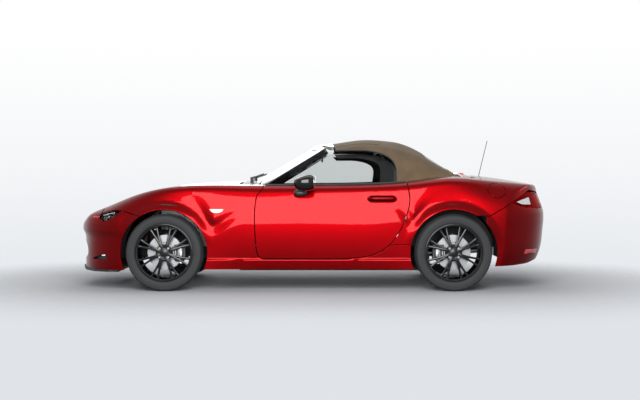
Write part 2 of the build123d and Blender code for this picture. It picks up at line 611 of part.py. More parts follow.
for y in (-420, 120):
    post = rod((-510, y, 850), (-510, y, 912), 14)
    wipers.append(fuse(post, rod((-510, y, 906), (-436, y + 430, 938), 7)) - outer)
antenna = fuse(rod((1512, 600, 850), (1514, 600, 892), 14),
               rod((1514, 600, 885), (1602, 600, 1247), 3)) - outer

# ---------------------------------------------------------------- fuel flap
FLAP_CENTRE = Vector(1471, -752, 807)
FLAP_TILT = 43
FLAP_RADIUS = 70
FLAP_THICKNESS = 12
flap_out = Vector(0, -cos(radians(FLAP_TILT)), sin(radians(FLAP_TILT)))
flap_along = Vector(0, sin(radians(FLAP_TILT)), cos(radians(FLAP_TILT)))
flap_hole = rod(tuple(FLAP_CENTRE - flap_out * 60), tuple(FLAP_CENTRE + flap_out * 60),
                FLAP_RADIUS + SHUT_GAP)
flap_plug = rod(tuple(FLAP_CENTRE - flap_out * 60), tuple(FLAP_CENTRE + flap_out * 60), FLAP_RADIUS)
fuel_flap = (quarters_rear & flap_plug) - outer.moved(Location(flap_out * -FLAP_THICKNESS))
quarters_rear = quarters_rear - flap_hole
flap_hinge = FLAP_CENTRE + Vector(8 - FLAP_RADIUS, 0, 0) + flap_out * 8
for direction in (1, -1):
    outer_end = flap_hinge + flap_along * (52 * direction)
    inner_end = flap_hinge + flap_along * (22 * direction)
    quarters_rear = quarters_rear + rod(tuple(outer_end), tuple(inner_end), 3)
    fuel_flap = fuel_flap - rod(tuple(outer_end), tuple(flap_hinge + flap_along * (18 * direction)),
                                3 + RUNNING)

# ---------------------------------------------------------------- hinges of the bonnet and the boot lid
LID_PIN = 6
BONNET_HINGE = (-610, 857)
BOOT_HINGE = (1312, 910)
for side in (1, -1):
    y_in, y_out = sorted((140 * side, 150 * side))
    x, z = BONNET_HINGE
    bonnet = bonnet - block(x - 17, x + 40, y_in - 6, y_out + 6, 700, z + 7.5)
    bonnet = bonnet - rod((x, y_in - 46, z), (x, y_out + 46, z), LID_PIN + RUNNING)
    floor_pan = fuse(floor_pan, block(x - 8, x + 8, y_in, y_out, 780, z),
                     rod((x, y_in - 40, z), (x, y_out + 40, z), LID_PIN))
    y_in, y_out = sorted((200 * side, 210 * side))
    x, z = BOOT_HINGE
    boot_lid = boot_lid - block(x - 40, x + 17, y_in - 6, y_out + 6, 700, z + 8)
    boot_lid = boot_lid - rod((x, y_in - 46, z), (x, y_out + 46, z), LID_PIN + RUNNING)
    deck_rear = fuse(deck_rear, block(x - 8, x + 8, y_in, y_out, z - 50, z),
                     block(x - 62, x + 8, y_in, y_out, z - 50, z - 36),
                     block(x - 62, x - 48, y_in, y_out, z - 50, z - 8),
                     rod((x, y_in - 40, z), (x, y_out + 40, z), LID_PIN))

# ---------------------------------------------------------------- save
nodes = {
    "bumper_front": bumper_front, "grille": grille, "lip_front": lip_front, "wings_front": wings_front,
    "scuttle": scuttle, "bonnet": bonnet, "sills": sills, "quarters_rear": quarters_rear,
    "fuel_flap": fuel_flap,
    "deck_rear": deck_rear, "boot_lid": boot_lid, "bumper_rear": bumper_rear, "headlamps": headlamps,
    "tail_lamps": tail_lamps, "windscreen_frame": windscreen_frame, "windscreen": windscreen,
    "door_right": door, "door_left": mirror(door, about=Plane.XZ),
    "door_glass_right": door_glass, "door_glass_left": mirror(door_glass, about=Plane.XZ),
    "mirror_right": mirror_right, "mirror_left": mirror(mirror_right, about=Plane.XZ),
    "door_hinges": hinge_plates, "floor_pan": floor_pan, "engine": engine, "dashboard": dashboard,
    "steering_wheel": steering_wheel, "seats": seats, "roll_hoops": roll_hoops, "exhaust": exhaust,
    "wipers": wipers,
    "antenna": antenna, "roof_link": roof_link, "roof_panel": roof_panel, "soft_top": soft_top,
    "rear_window": rear_window, "upright_front_right": upright_front_right,
    "upright_front_left": upright_front_left,
    "uprights_rear": uprights_rear, "suspension": suspension, "wheel_liners": wheel_liners,
}
nodes.update(wheels)
for name, shape in nodes.items():
    with BuildPart() as node:
        for piece in shape if isinstance(shape, list) else [shape]:
            add(piece)
    node.part.label = name
    export_step(node.part, f"parts/{name}.step")
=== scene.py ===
"""Looks of a two-seat convertible car with a closed cloth roof: paint, glass, cloth, rubber and studio.

Sizes are in metres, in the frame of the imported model: X rearwards, Y to the car's right, Z up from the floor.
The painted body is one smooth form, written as formulas, from which every panel is cut along its shut lines.
"""

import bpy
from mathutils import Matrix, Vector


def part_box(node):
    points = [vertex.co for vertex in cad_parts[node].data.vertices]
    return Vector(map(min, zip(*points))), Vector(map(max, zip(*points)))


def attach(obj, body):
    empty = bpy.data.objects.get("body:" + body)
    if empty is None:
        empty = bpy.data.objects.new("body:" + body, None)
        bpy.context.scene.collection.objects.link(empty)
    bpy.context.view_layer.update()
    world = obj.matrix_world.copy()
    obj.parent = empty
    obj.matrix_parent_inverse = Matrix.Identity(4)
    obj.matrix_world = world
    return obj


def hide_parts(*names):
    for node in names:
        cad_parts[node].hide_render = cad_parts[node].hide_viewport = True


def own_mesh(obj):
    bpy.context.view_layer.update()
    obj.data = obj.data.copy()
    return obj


bl_info = {
    "name": "Convertible car dresser", "version": (1, 0, 0), "blender": (4, 5, 0),
    "location": "View3D > Sidebar > Convertible",
    "description": "Builds the visible pieces and finishes of a two-seat convertible car",
    "category": "Add Mesh"}

from math import ceil, cos, hypot, pi, radians, sin

import bmesh
import bpy
import numpy as np
from mathutils import Vector, geometry

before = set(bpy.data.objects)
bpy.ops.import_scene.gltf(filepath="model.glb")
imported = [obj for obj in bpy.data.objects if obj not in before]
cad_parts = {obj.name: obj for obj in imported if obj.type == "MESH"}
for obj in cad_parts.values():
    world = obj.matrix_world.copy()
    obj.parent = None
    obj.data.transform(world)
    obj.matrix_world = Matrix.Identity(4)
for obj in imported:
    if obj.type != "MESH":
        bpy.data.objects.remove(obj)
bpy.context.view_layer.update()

# ---------------------------------------------------------------- places read from the frame
TYRE_LOW, TYRE_HIGH = (Vector(corner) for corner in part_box("tyre_front_right"))
REAR_LOW, REAR_HIGH = (Vector(corner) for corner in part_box("tyre_rear_right"))
HUB_Z = (TYRE_LOW.z + TYRE_HIGH.z) / 2
FRONT_AXLE_X = (TYRE_LOW.x + TYRE_HIGH.x) / 2
REAR_AXLE_X = (REAR_LOW.x + REAR_HIGH.x) / 2
WHEEL_Y = {"front": (TYRE_LOW.y + TYRE_HIGH.y) / 2, "rear": (REAR_LOW.y + REAR_HIGH.y) / 2}
AXLES = {"front": FRONT_AXLE_X, "rear": REAR_AXLE_X}

# ---------------------------------------------------------------- the body form
SHUT_GAP = 0.005
ARCH_RADIUS = 0.346
FLARE_WIDTH = 0.078
FLARE_RISE = 0.034


def smooth_curve(*points):
    """A natural cubic curve through (position, value) pairs, as a function of arrays."""
    xs, ys = np.array(points, dtype=float).T
    n = len(xs)
    h = np.diff(xs)
    system = np.eye(n)
    right = np.zeros(n)
    for i in range(1, n - 1):
        system[i, i - 1:i + 2] = h[i - 1], 2 * (h[i - 1] + h[i]), h[i]
        right[i] = 6 * ((ys[i + 1] - ys[i]) / h[i] - (ys[i] - ys[i - 1]) / h[i - 1])
    m = np.linalg.solve(system, right)

    def value(x):
        x = np.clip(x, xs[0], xs[-1])
        i = np.clip(np.searchsorted(xs, x) - 1, 0, n - 2)
        before, after, step = x - xs[i], xs[i + 1] - x, h[i]
        bend = (m[i] * after ** 3 + m[i + 1] * before ** 3) / (6 * step)
        return bend + (ys[i] / step - m[i] * step / 6) * after + (ys[i + 1] / step - m[i + 1]
                                                                  * step / 6) * before
    return value


# Heights of the top along the middle, then the line where top and side meet, and the side's widest line.
MIDDLE_Z = smooth_curve(
    (-2.0, .47), (-1.96, .512), (-1.9, .562), (-1.8, .622), (-1.7, .676), (-1.583, .722), (-1.478, .764),
    (-1.35, .803), (-1.165, .836), (-.955, .857), (-.746, .87), (-.589, .876), (-.2, .89), (.6, .91),
    (1.0, .945), (1.25, .94), (1.4, .923), (1.555, .905), (1.66, .888), (1.765, .869), (1.869, .846),
    (2.0, .812))
SHOULDER_Z = smooth_curve(
    (-2.0, .43), (-1.96, .47), (-1.86, .578), (-1.7, .658), (-1.54, .724), (-1.36, .786), (-1.19, .822),
    (-1.0, .841), (-.7, .843), (-.4, .837), (0, .838), (.6, .85), (.87, .872), (1.12, .896), (1.3, .887),
    (1.5, .869), (1.8, .842), (2.0, .805))
SHOULDER_Y = smooth_curve(
    (-2.0, .6), (-1.86, .628), (-1.7, .665), (-1.54, .702), (-1.36, .745), (-1.19, .775), (-.9, .787),
    (-.5, .788), (0, .793), (.6, .798), (.9, .796), (1.12, .782), (1.5, .728), (1.8, .678), (2.0, .64))
WIDEST_Y = smooth_curve(
    (-2.0, .7), (-1.86, .768), (-1.7, .818), (-1.54, .842), (-1.36, .842), (-1.19, .83), (-.95, .838),
    (-.75, .849), (0, .851), (.6, .853), (.85, .848), (1.12, .832), (1.35, .846), (1.5, .847), (1.8, .812),
    (2.0, .765))
WIDEST_Z = smooth_curve(
    (-2.0, .34), (-1.86, .37), (-1.7, .43), (-1.54, .49), (-1.19, .6), (-.8, .56), (0, .53), (.6, .54),
    (1.12, .62), (1.5, .57), (1.8, .58), (2.0, .6))
SILL_Y = smooth_curve(
    (-2.0, .69), (-1.86, .745), (-1.7, .798), (-1.54, .828), (-1.19, .842), (-.7, .833), (.6, .834),
    (1.12, .844), (1.5, .826), (1.8, .79), (2.0, .735))
SIDE_FULLNESS = smooth_curve(
    (-2.0, 3.2), (-1.54, 3.0), (-1.19, 1.9), (-.7, 1.8), (.6, 1.8), (1.12, 1.9), (1.5, 2.4), (2.0, 2.6))
SILL_Z = .18
BODY_REACH = 1.9572  # how far nose and tail reach from the middle
NOSE_X = smooth_curve(
    (.1, -1.925), (.22, -1.934), (.4, -1.934), (.445, -1.94), (.48, -1.957), (.54, -1.955), (.8, -1.93))
TAIL_X = smooth_curve(
    (.1, 1.83), (.262, 1.905), (.34, 1.931), (.5, 1.951), (.61, 1.9575), (.7, 1.932), (.8, 1.895),
    (.86, 1.884), (1.0, 1.86))
NOSE_PLAN = smooth_curve((-.3, .022), (0, 0), (.3, .022), (.6, .1), (.748, .222), (.88, .47), (1.1, 1.1))
TAIL_PLAN = smooth_curve((-.3, .024), (0, 0), (.3, .024), (.6, .1), (.738, .222), (.88, .48), (1.1, 1.1))

# The soft valley that runs from behind the front arch, along the door, to the rear arch: x, z, relative depth.
VALLEY = (
    (-1.1, .765, 0), (-.97, .725, .3), (-.9, .655, .8), (-.85, .57, 1), (-.81, .522, 1), (-.76, .53, 1),
    (-.69, .575, 1), (-.59, .618, .85), (-.44, .64, .65), (-.1, .652, .55), (.3, .654, .55), (.52, .662, .65),
    (.64, .682, .85), (.71, .655, 1), (.755, .6, 1), (.79, .562, 1), (.835, .585, 1), (.885, .655, .8),
    (.96, .715, .3), (1.08, .76, 0))
VALLEY_DEPTH = .009
VALLEY_WIDTH = .044
HANDLE_PLACE = (.542, .742)  # x and z of the door handle's middle
HANDLE_LENGTH = .225
CUP_DEPTH = .02
CUP_GRID = .006  # the recess needs finer points than the door round it
DOOR_DEPTH = .07  # from the door's skin to the end of its turned-in walls
LEDGE_Z, LEDGE_DEPTH = .258, .007  # the sill stands out below this height


def rising(value, low, high):
    """0 below low, 1 above high, and a smooth step between."""
    t = np.clip((value - low) / (high - low), 0, 1)
    return t * t * (3 - 2 * t)


def rounded_max(a, b, radius):
    """The larger of two fields, with the edge where they meet rounded."""
    near = np.maximum(radius - np.abs(a - b), 0) / radius
    return np.maximum(a, b) + near * near * radius / 4


def valley_path():
    """The valley's line, smoothed through its points."""
    table = np.array(VALLEY)
    steps = np.arange(len(table))
    fine = np.linspace(0, len(table) - 1, 5 * len(table))
    return np.stack([smooth_curve(*zip(steps, column))(fine) for column in table.T], axis=1)


VALLEY_LINE = valley_path()


def valley_dent(x, z):
    """How far the valley draws the side in."""
    start, end = VALLEY_LINE[:-1, :2], VALLEY_LINE[1:, :2]
    run = end - start
    best = np.full(x.shape, 9.0)
    depth = np.zeros(x.shape)
    for i in range(len(run)):
        along = np.clip(((x - start[i, 0]) * run[i, 0] + (z - start[i, 1]) * run[i, 1]) / (run[i] @ run[i]), 0,
                        1)
        away = (x - start[i, 0] - along * run[i, 0]) ** 2 + (z - start[i, 1] - along * run[i, 1]) ** 2
        here = VALLEY_LINE[i, 2] + along * (VALLEY_LINE[i + 1, 2] - VALLEY_LINE[i, 2])
        depth = np.where(away < best, here, depth)
        best = np.minimum(best, away)
    return VALLEY_DEPTH * depth * np.exp(-best / VALLEY_WIDTH ** 2)


def flare(x, z):
    """The raised lip round each wheel opening."""
    rise = np.zeros(x.shape)
    for axle_x in AXLES.values():
        radius = np.hypot(x - axle_x, z - HUB_Z) + 1e-9
        lean = (z - HUB_Z) / radius
        fall = 1 - rising(radius, ARCH_RADIUS - .012, ARCH_RADIUS + FLARE_WIDTH)
        rise = rise + FLARE_RISE * fall * rising(lean, .1, .95)
    return rise


def side_y(x, z):
    """Half the body's width at a place in side view."""
    y_top, z_top, y_wide, z_wide = SHOULDER_Y(x), SHOULDER_Z(x), WIDEST_Y(x), WIDEST_Z(x)
    s = np.clip((z_top - z) / (z_top - z_wide), -1, 1)
    upper = y_top + (y_wide - y_top) * (1 - (1 - s) ** SIDE_FULLNESS(x))
    down = np.maximum(z_wide - z, 0) / (z_wide - SILL_Z)
    lower = (y_wide - SILL_Y(x)) * down ** 2
    ledge = LEDGE_DEPTH * (1 - rising(z, LEDGE_Z - .006,
                                      LEDGE_Z + .004)) * rising(x, -1.2, -.9) * (1 - rising(x, .7, 1.0))
    return upper - lower + flare(x, z) - valley_dent(x, z) - handle_cup(x, z) + ledge


def handle_cup(x, z):
    """The finger recess behind the door handle."""
    dx = np.maximum(np.abs(x - HANDLE_PLACE[0] - .012) - .075, 0) / .03
    dz = (z - HANDLE_PLACE[1] + .006) / .02
    return CUP_DEPTH * np.exp(-(dx ** 2 + dz ** 2) ** 1.5)


def top_z(x, y):
    """The height of the bonnet, the scuttle and the rear deck."""
    across = np.abs(y) / SHOULDER_Y(x)
    fall = MIDDLE_Z(x) - SHOULDER_Z(x)
    return MIDDLE_Z(x) - fall * across ** 2.2


def body_field(p):
    """Negative inside the body, positive outside, zero on its skin."""
    x, y, z = p[:, 0], p[:, 1], p[:, 2]
    field = rounded_max(np.abs(y) - side_y(x, z), z - top_z(x, y), .05)
    nose, tail = np.maximum(NOSE_X(z), -BODY_REACH), np.minimum(TAIL_X(z), BODY_REACH)
    field = rounded_max(field, nose + NOSE_PLAN(np.abs(y)) - x, .035)
    return rounded_max(field, x - tail + TAIL_PLAN(np.abs(y)), .022)


def skin_normals(points, field=body_field):
    """Outward normals of a field's skin, from its slope."""
    step = .0006
    slopes = []
    for axis in range(3):
        shift = np.zeros(3)
        shift[axis] = step
        slopes.append(field(points + shift) - field(points - shift))
    normals = np.stack(slopes, axis=1)
    return normals / np.linalg.norm(normals, axis=1, keepdims=True)


def meet_skin(origins, directions, reach=3.0, field=body_field):
    """Where rays from inside a field leave it."""
    near = np.zeros(len(origins))
    far = np.full(len(origins), reach)
    for _ in range(24):
        middle = (near + far) / 2
        outside = field(origins + directions * middle[:, None]) > 0
        far = np.where(outside, middle, far)
        near = np.where(outside, near, middle)
    return origins + directions * far[:, None]


# ---------------------------------------------------------------- the cloth roof's form
ROOF_FRONT_Z = smooth_curve(
    (-.05, 1.168), (.04, 1.182), (.165, 1.197), (.405, 1.231), (.6, 1.225), (.8, 1.198), (1.0, 1.15),
    (1.4, 1.0))
ROOF_REAR_SLOPE, ROOF_REAR_POINT = -.658, (.928, 1.121)
ROOF_SIDE_Y = smooth_curve(
    (0, .716), (.45, .715), (.6, .704), (.76, .691), (.852, .674), (1.04, .626), (1.215, .588), (1.3, .56))
ROOF_CROWN = smooth_curve((0, .05), (.405, .075), (.85, .085), (1.04, .06), (1.215, .028), (1.3, .028))
ROOF_LEAN = .5
ROOF_AXIS_Z = .62  # the height of the line round which the roof is unrolled
BELT_Z = .85


def roof_field(p):
    """Negative under the closed cloth roof, positive outside it."""
    x, y, z = p[:, 0], np.abs(p[:, 1]), p[:, 2]
    rear = ROOF_REAR_POINT[1] + ROOF_REAR_SLOPE * (x - ROOF_REAR_POINT[0])
    top = -rounded_max(-ROOF_FRONT_Z(x), -rear, .07) - ROOF_CROWN(x) * (y / .52) ** 2.2
    side = ROOF_SIDE_Y(x) - ROOF_LEAN * (z - BELT_Z) + .012 * np.sin(np.clip((z - BELT_Z) / .3, 0, 1) * pi)
    return rounded_max(y - side, z - top, .075)


# ---------------------------------------------------------------- the windscreen's form
SCREEN_LOW_Z, SCREEN_RISE = .838, .362
SCREEN_LOW_X, SCREEN_RUN = -.571, .629
SCREEN_HALF_WIDTH, SCREEN_TAPER = .671, .178
SCREEN_BOW, SCREEN_BOW_LOSS = .163, .038  # how far its sides stand back at the foot, less on top


def screen_field(p):
    """Negative behind the curved windscreen, positive in front of it."""
    up = (p[:, 2] - SCREEN_LOW_Z) / SCREEN_RISE
    middle = SCREEN_LOW_X + SCREEN_RUN * up
    bow = (SCREEN_BOW - SCREEN_BOW_LOSS * up) * (p[:, 1] / (SCREEN_HALF_WIDTH - SCREEN_TAPER * up)) ** 2
    return middle + bow - p[:, 0]


# ---------------------------------------------------------------- views that unroll the body
class FlatView:
    """Looks at the body along one direction, from a start plane inside it."""

    def __init__(self, out, across, start=0.0, field=body_field):
        self.field = field
        self.out, self.across = np.array(out, dtype=float), np.array(across, dtype=float)
        self.up = np.cross(self.out, self.across)
        self.start = self.out * start

    def flat(self, points):
        return np.stack((points @ self.across, points @ self.up), axis=1)

    def solid(self, flat):
        origins = self.start + flat[:, :1] * self.across + flat[:, 1:] * self.up
        return meet_skin(origins, np.broadcast_to(self.out, origins.shape), field=self.field)


class EndView:
    """Unrolls the nose or the tail round a line across the car."""
    field = staticmethod(body_field)

    def __init__(self, spine_x, spine_y, facing, elevation=18):
        self.spine_x, self.spine_y, self.facing = spine_x, spine_y, facing
        self.lift, self.level = sin(radians(elevation)), cos(radians(elevation))
        self.roll = .5  # metres of unrolled width for each radian

    def flat(self, points):
        beyond = np.maximum(np.abs(points[:, 1]) - self.spine_y, 0)
        ahead = np.maximum((points[:, 0] - self.spine_x) * self.facing, 1e-6)
        angle = np.arctan2(beyond, ahead)
        across = np.minimum(np.abs(points[:, 1]), self.spine_y) + angle * self.roll
        distance = np.hypot(beyond, ahead)
        across *= np.sign(points[:, 1]) * self.facing
        return np.stack((across, points[:, 2] * self.level - distance * self.lift), axis=1)

    def solid(self, flat):
        side = np.sign(flat[:, 0]) * self.facing
        angle = np.maximum(np.abs(flat[:, 0]) - self.spine_y, 0) / self.roll
        directions = np.stack((self.facing * np.cos(angle) * self.level, side * np.sin(angle) * self.level,
                               np.full(len(flat), self.lift)), axis=1)
        back = np.stack((self.facing * np.cos(angle), side * np.sin(angle), np.zeros(len(flat))), axis=1)
        origins = -back * (flat[:, 1:] * self.lift)
        origins[:, 0] += self.spine_x
        origins[:, 1] += side * np.minimum(np.abs(flat[:, 0]), self.spine_y)
        origins[:, 2] = flat[:, 1] * self.level
        return meet_skin(origins, directions, 1.6)


WING_TILT = radians(36)
LID_TILT = radians(48)
VIEWS = {
    "side": FlatView((0, 1, 0), (-1, 0, 0)), "top": FlatView((0, 0, 1), (0, 1, 0)),
    "front": FlatView((-1, 0, 0), (0, -1, 0), 1.0), "rear": FlatView((1, 0, 0), (0, 1, 0), 1.0),
    "roof_side": FlatView((0, 1, 0), (-1, 0, 0), field=roof_field),
    "roof_top": FlatView((0, 0, 1), (0, 1, 0), .7, field=roof_field),
    "screen_front": FlatView((-1, 0, 0), (0, -1, 0), -.8, field=screen_field)}
WING_VIEW = FlatView((0, cos(WING_TILT), sin(WING_TILT)), (-1, 0, 0))
LID_VIEW = FlatView((cos(LID_TILT), 0, sin(LID_TILT)), (0, 1, 0), .2)
SCREEN_VIEW = FlatView((-.5, 0, .866), (0, -1, 0), .2, field=screen_field)


class RoundView:
    """Unrolls the roof round a line along the car."""
    field = staticmethod(roof_field)
    roll = .45  # metres of unrolled width for each radian

    def flat(self, points):
        angle = np.arctan2(points[:, 1], points[:, 2] - ROOF_AXIS_Z)
        return np.stack((angle * self.roll, -points[:, 0]), axis=1)

    def solid(self, flat):
        angle = flat[:, 0] / self.roll
        directions = np.stack((np.zeros(len(flat)), np.sin(angle), np.cos(angle)), axis=1)
        origins = np.stack((-flat[:, 1], np.zeros(len(flat)), np.full(len(flat), ROOF_AXIS_Z)), axis=1)
        return meet_skin(origins, directions, 1.2, self.field)


NOSE_VIEW = EndView(-1.38, .36, -1)
TAIL_VIEW = EndView(1.38, .36, 1)
ROOF_VIEW = RoundView()


# ---------------------------------------------------------------- outlines
def dense_line(points, spacing=.012):
    """A 2D polyline with points added along its straight runs."""
    flat = np.array(points, dtype=float)
    dense = [flat[:1]]
    for start, end in zip(flat[:-1], flat[1:]):
        count = max(1, ceil(hypot(*(end - start)) / spacing))
        dense.append(start + (end - start) * np.linspace(0, 1, count + 1)[1:, None])
    return np.concatenate(dense)


def trace(view, *points):
    """A polyline laid on the skin: side view (x, z), plan view (x, y), or front and rear view (y, z)."""
    flat = dense_line(points)
    a, b = flat[:, :1], flat[:, 1:]
    zero = np.zeros_like(a)
    kind = view.split("_")[-1]
    placed = {"side": (a, zero, b), "top": (a, b, zero), "front": (zero, a, b), "rear": (zero, a, b)}[kind]
    return VIEWS[view].solid(VIEWS[view].flat(np.concatenate(placed, axis=1)))


def loop_of(view, *traces):
    """Traces joined end to end into one closed loop on the skin, with any gap bridged along the skin."""
    flats = [view.flat(points) for points in traces]
    joined = []
    for this, following in zip(flats, flats[1:] + flats[:1]):
        joined += [this, dense_line((this[-1], following[0]))[1:-1]]
    return view.solid(np.concatenate([part for part in joined if len(part)]))


def mirrored(points):
    """The same points on the car's other side."""
    return points * np.array((1, -1, 1))


def softened(points, radius, closed=False):
    """A polyline in 2D with its corners rounded to about a radius."""
    result = []
    count = len(points)
    for i, corner in enumerate(points):
        if not closed and i in (0, count - 1):
            result.append(corner)
            continue
        before, here, after = (np.array(points[(i + k) % count], dtype=float) for k in (-1, 0, 1))
        size = min(radius, np.linalg.norm(before - here) * .5, np.linalg.norm(after - here) * .5)
        start = here + (before - here) / np.linalg.norm(before - here) * size
        end = here + (after - here) / np.linalg.norm(after - here) * size
        for t in (0, .25, .5, .75, 1):
            result.append(tuple((1 - t) ** 2 * start + 2 * t * (1 - t) * here + t * t * end))
    return result[:1] + [p for p, last in zip(result[1:], result)
                         if hypot(p[0] - last[0], p[1] - last[1]) > 1e-6]


def shifted(points, distance):
    """A 2D polyline moved to its left by a distance, corner by corner."""
    flat = np.array(points, dtype=float)
    runs = np.diff(flat, axis=0)
    runs = runs / np.linalg.norm(runs, axis=1, keepdims=True)
    left = np.stack((-runs[:, 1], runs[:, 0]), axis=1)
    at_corner = np.concatenate((left[:1], left[:-1] + left[1:], left[-1:]))
    scale = np.concatenate(([1], .5 + .5 * (left[:-1] * left[1:]).sum(axis=1), [1]))
    at_corner[1:-1] /= 2
    return [tuple(p) for p in flat + at_corner / scale[:, None] * distance]


def arch_arc(axle_x, start, end, radius=ARCH_RADIUS):
    """Part of a wheel opening in side view, between two angles in degrees from the rear, over the top."""
    angles = np.radians(np.linspace(start, end, max(6, int(abs(end - start) / 2.4))))
    return [(axle_x + radius * cos(a), HUB_Z + radius * sin(a)) for a in angles]


def arch_angle(axle_x, z, front, radius=ARCH_RADIUS):
    """The angle at which a wheel opening reaches a height, on its front or rear side."""
    angle = np.degrees(np.arcsin((z - HUB_Z) / radius))
    return 180 - angle if front else angle


def arch_x(axle_x, z, front, radius=ARCH_RADIUS):
    """Where a wheel opening reaches a height."""
    reach = (radius ** 2 - (z - HUB_Z) ** 2) ** .5
    return axle_x - reach if front else axle_x + reach


# ---------------------------------------------------------------- panels
def inside_polygon(points, polygon):
    """Which 2D points lie inside a closed polygon."""
    inside = np.zeros(len(points), dtype=bool)
    x, y = points[:, 0], points[:, 1]
    for (x0, y0), (x1, y1) in zip(polygon, np.roll(polygon, -1, axis=0)):
        if y0 == y1:
            continue
        crosses = (y0 > y) != (y1 > y)
        inside ^= crosses & (x < (x1 - x0) * (y - y0) / (y1 - y0) + x0)
    return inside


def staggered_grid(low, high, step):
    """Rows of points in a box, every other row moved along by half a step."""
    rows = []
    for k, v in enumerate(np.arange(low[1] + step * .5, high[1], step * .87)):
        u = np.arange(low[0] + step * (.5 if k % 2 else 1), high[0], step)
        rows.append(np.stack((u, np.full(len(u), v)), axis=1))
    return np.concatenate(rows)


def fill_points(polygon, spacing, fine_box=None):
    """An even grid inside a polygon, kept off its edge, and finer in a box given as (low, high, spacing)."""
    grid = staggered_grid(polygon.min(axis=0), polygon.max(axis=0), spacing)
    if fine_box is not None:
        fine_low, fine_high, fine_spacing = fine_box
        around = ((grid < fine_low - spacing / 3) | (grid > fine_high + spacing / 3)).any(axis=1)
        grid = np.concatenate((grid[around], staggered_grid(fine_low, fine_high, fine_spacing)))
    grid = grid[inside_polygon(grid, polygon)]
    nearest = np.full(len(grid), 9.0)
    for start, end in zip(polygon, np.roll(polygon, -1, axis=0)):
        run = end - start
        along = np.clip((grid - start) @ run / max(run @ run, 1e-12), 0, 1)
        nearest = np.minimum(nearest, np.linalg.norm(grid - start - along[:, None] * run, axis=1))
    return grid[nearest > spacing * .45]


def even_loop(points, spacing):
    """A closed 3D loop, resampled without moving its corners by more than half a spacing."""
    kept = [points[0]]
    for point in points[1:]:
        if np.linalg.norm(point - kept[-1]) > spacing * .35:
            kept.append(point)
    if np.linalg.norm(kept[0] - kept[-1]) < spacing * .35:
        kept.pop()
    return np.array(kept)


def turned_loop(view, outline, spacing, edge, anticlockwise):
    """An outline run the right way round, drawn in by the edge's radius, with its outward directions."""
    loop = even_loop(outline, spacing * .9)
    flat = view.flat(loop)
    area = np.sum(flat[:, 0] * np.roll(flat[:, 1], -1) - flat[:, 1] * np.roll(flat[:, 0], -1))
    if (area > 0) != anticlockwise:
        loop = loop[::-1]
    along = np.roll(loop, -1, axis=0) - np.roll(loop, 1, axis=0)
    outward = np.cross(along, skin_normals(loop, view.field))
    outward /= np.linalg.norm(outward, axis=1, keepdims=True)
    return view.flat(loop - outward * edge), outward


def skin_panel(view, outline, depth=.012, spacing=.015, edge=.0025, fine_box=None, skin_shift=0.0, holes=()):
    """A closed shell cut from the skin by loops of points on it, with rounded edges and turned-in walls.

    Returns points, faces and one normal for each corner of each face.
    """
    loops = [turned_loop(view, outline, spacing, edge, True)]
    loops += [turned_loop(view, hole, spacing, edge, False) for hole in holes]
    inner_flat = np.concatenate([flat for flat, _ in loops])
    outward = np.concatenate([directions for _, directions in loops])
    middle = fill_points(loops[0][0], spacing, fine_box)
    following, start = [], 0
    for flat, _ in loops:
        following += [start + (i + 1) % len(flat) for i in range(len(flat))]
        start += len(flat)
    for flat, _ in loops[1:]:
        middle = middle[~inside_polygon(middle, flat)]
    count = len(inner_flat)
    verts, _, faces, *_ = geometry.delaunay_2d_cdt(
        [Vector(p) for p in np.concatenate((inner_flat, middle))],
        [(i, following[i]) for i in range(len(loops[0][0]), count)], [list(range(len(loops[0][0])))], 1, 1e-7)
    flat_all = np.array([tuple(v) for v in verts])
    if len(flat_all) != count + len(middle):
        raise RuntimeError("a panel's outline crosses itself")
    for flat, _ in loops[1:]:
        centres = np.array([flat_all[list(face)].mean(axis=0) for face in faces])
        faces = [face for face, covered in zip(faces, inside_polygon(centres, flat)) if not covered]
    points = view.solid(flat_all)
    shades = skin_normals(points, view.field)
    points = points + shades * skin_shift
    # the rounded edge, the wall and the inner side
    ring, ring_shade = points[:count], shades[:count]
    rims = [(ring + outward * edge * sin(a) - ring_shade * edge * (1 - cos(a)),
             outward * sin(a) + ring_shade * cos(a))
            for a in (pi / 6, pi / 3, pi / 2)]
    rims.append((ring + outward * edge - ring_shade * depth, outward))
    total = len(points)
    all_points = np.concatenate([points] + [rim for rim, _ in rims] + [points[count:] - shades[count:] * depth])
    corner_faces, corner_normals = [], []
    facing = np.cross(points[faces[0][1]] - points[faces[0][0]], points[faces[0][2]] - points[faces[0][0]])
    outwards = facing @ shades[faces[0][0]] > 0
    last_rim = total + count * 3
    inner_start = total + count * 4 - count
    for face in faces:
        top = list(face) if outwards else list(face)[::-1]
        corner_faces.append(top)
        corner_normals += [shades[i] for i in top]
        under = [last_rim + i if i < count else inner_start + i for i in top[::-1]]
        corner_faces.append(under)
        corner_normals += [-shades[i] for i in top[::-1]]
    rows = [(0, ring_shade)] + [(total + count * k, shade) for k, (_, shade) in enumerate(rims)]
    for (start_a, shade_a), (start_b, shade_b) in zip(rows[:-1], rows[1:]):
        for i in range(count):
            j = following[i]
            quad = [start_a + i, start_b + i, start_b + j, start_a + j]
            shade = [shade_a[i], shade_b[i], shade_b[j], shade_a[j]]
            if not outwards:
                quad, shade = quad[::-1], shade[::-1]
            corner_faces.append(quad)
            corner_normals += shade
    return all_points, corner_faces, np.array(corner_normals)


def joined_panels(*parts):
    """Several panels as one set of points, faces and corner normals."""
    points, faces, normals, shift = [], [], [], 0
    for part_points, part_faces, part_normals in parts:
        points.append(part_points)
        faces += [[i + shift for i in face] for face in part_faces]
        normals.append(part_normals)
        shift += len(part_points)
    return np.concatenate(points), faces, np.concatenate(normals)


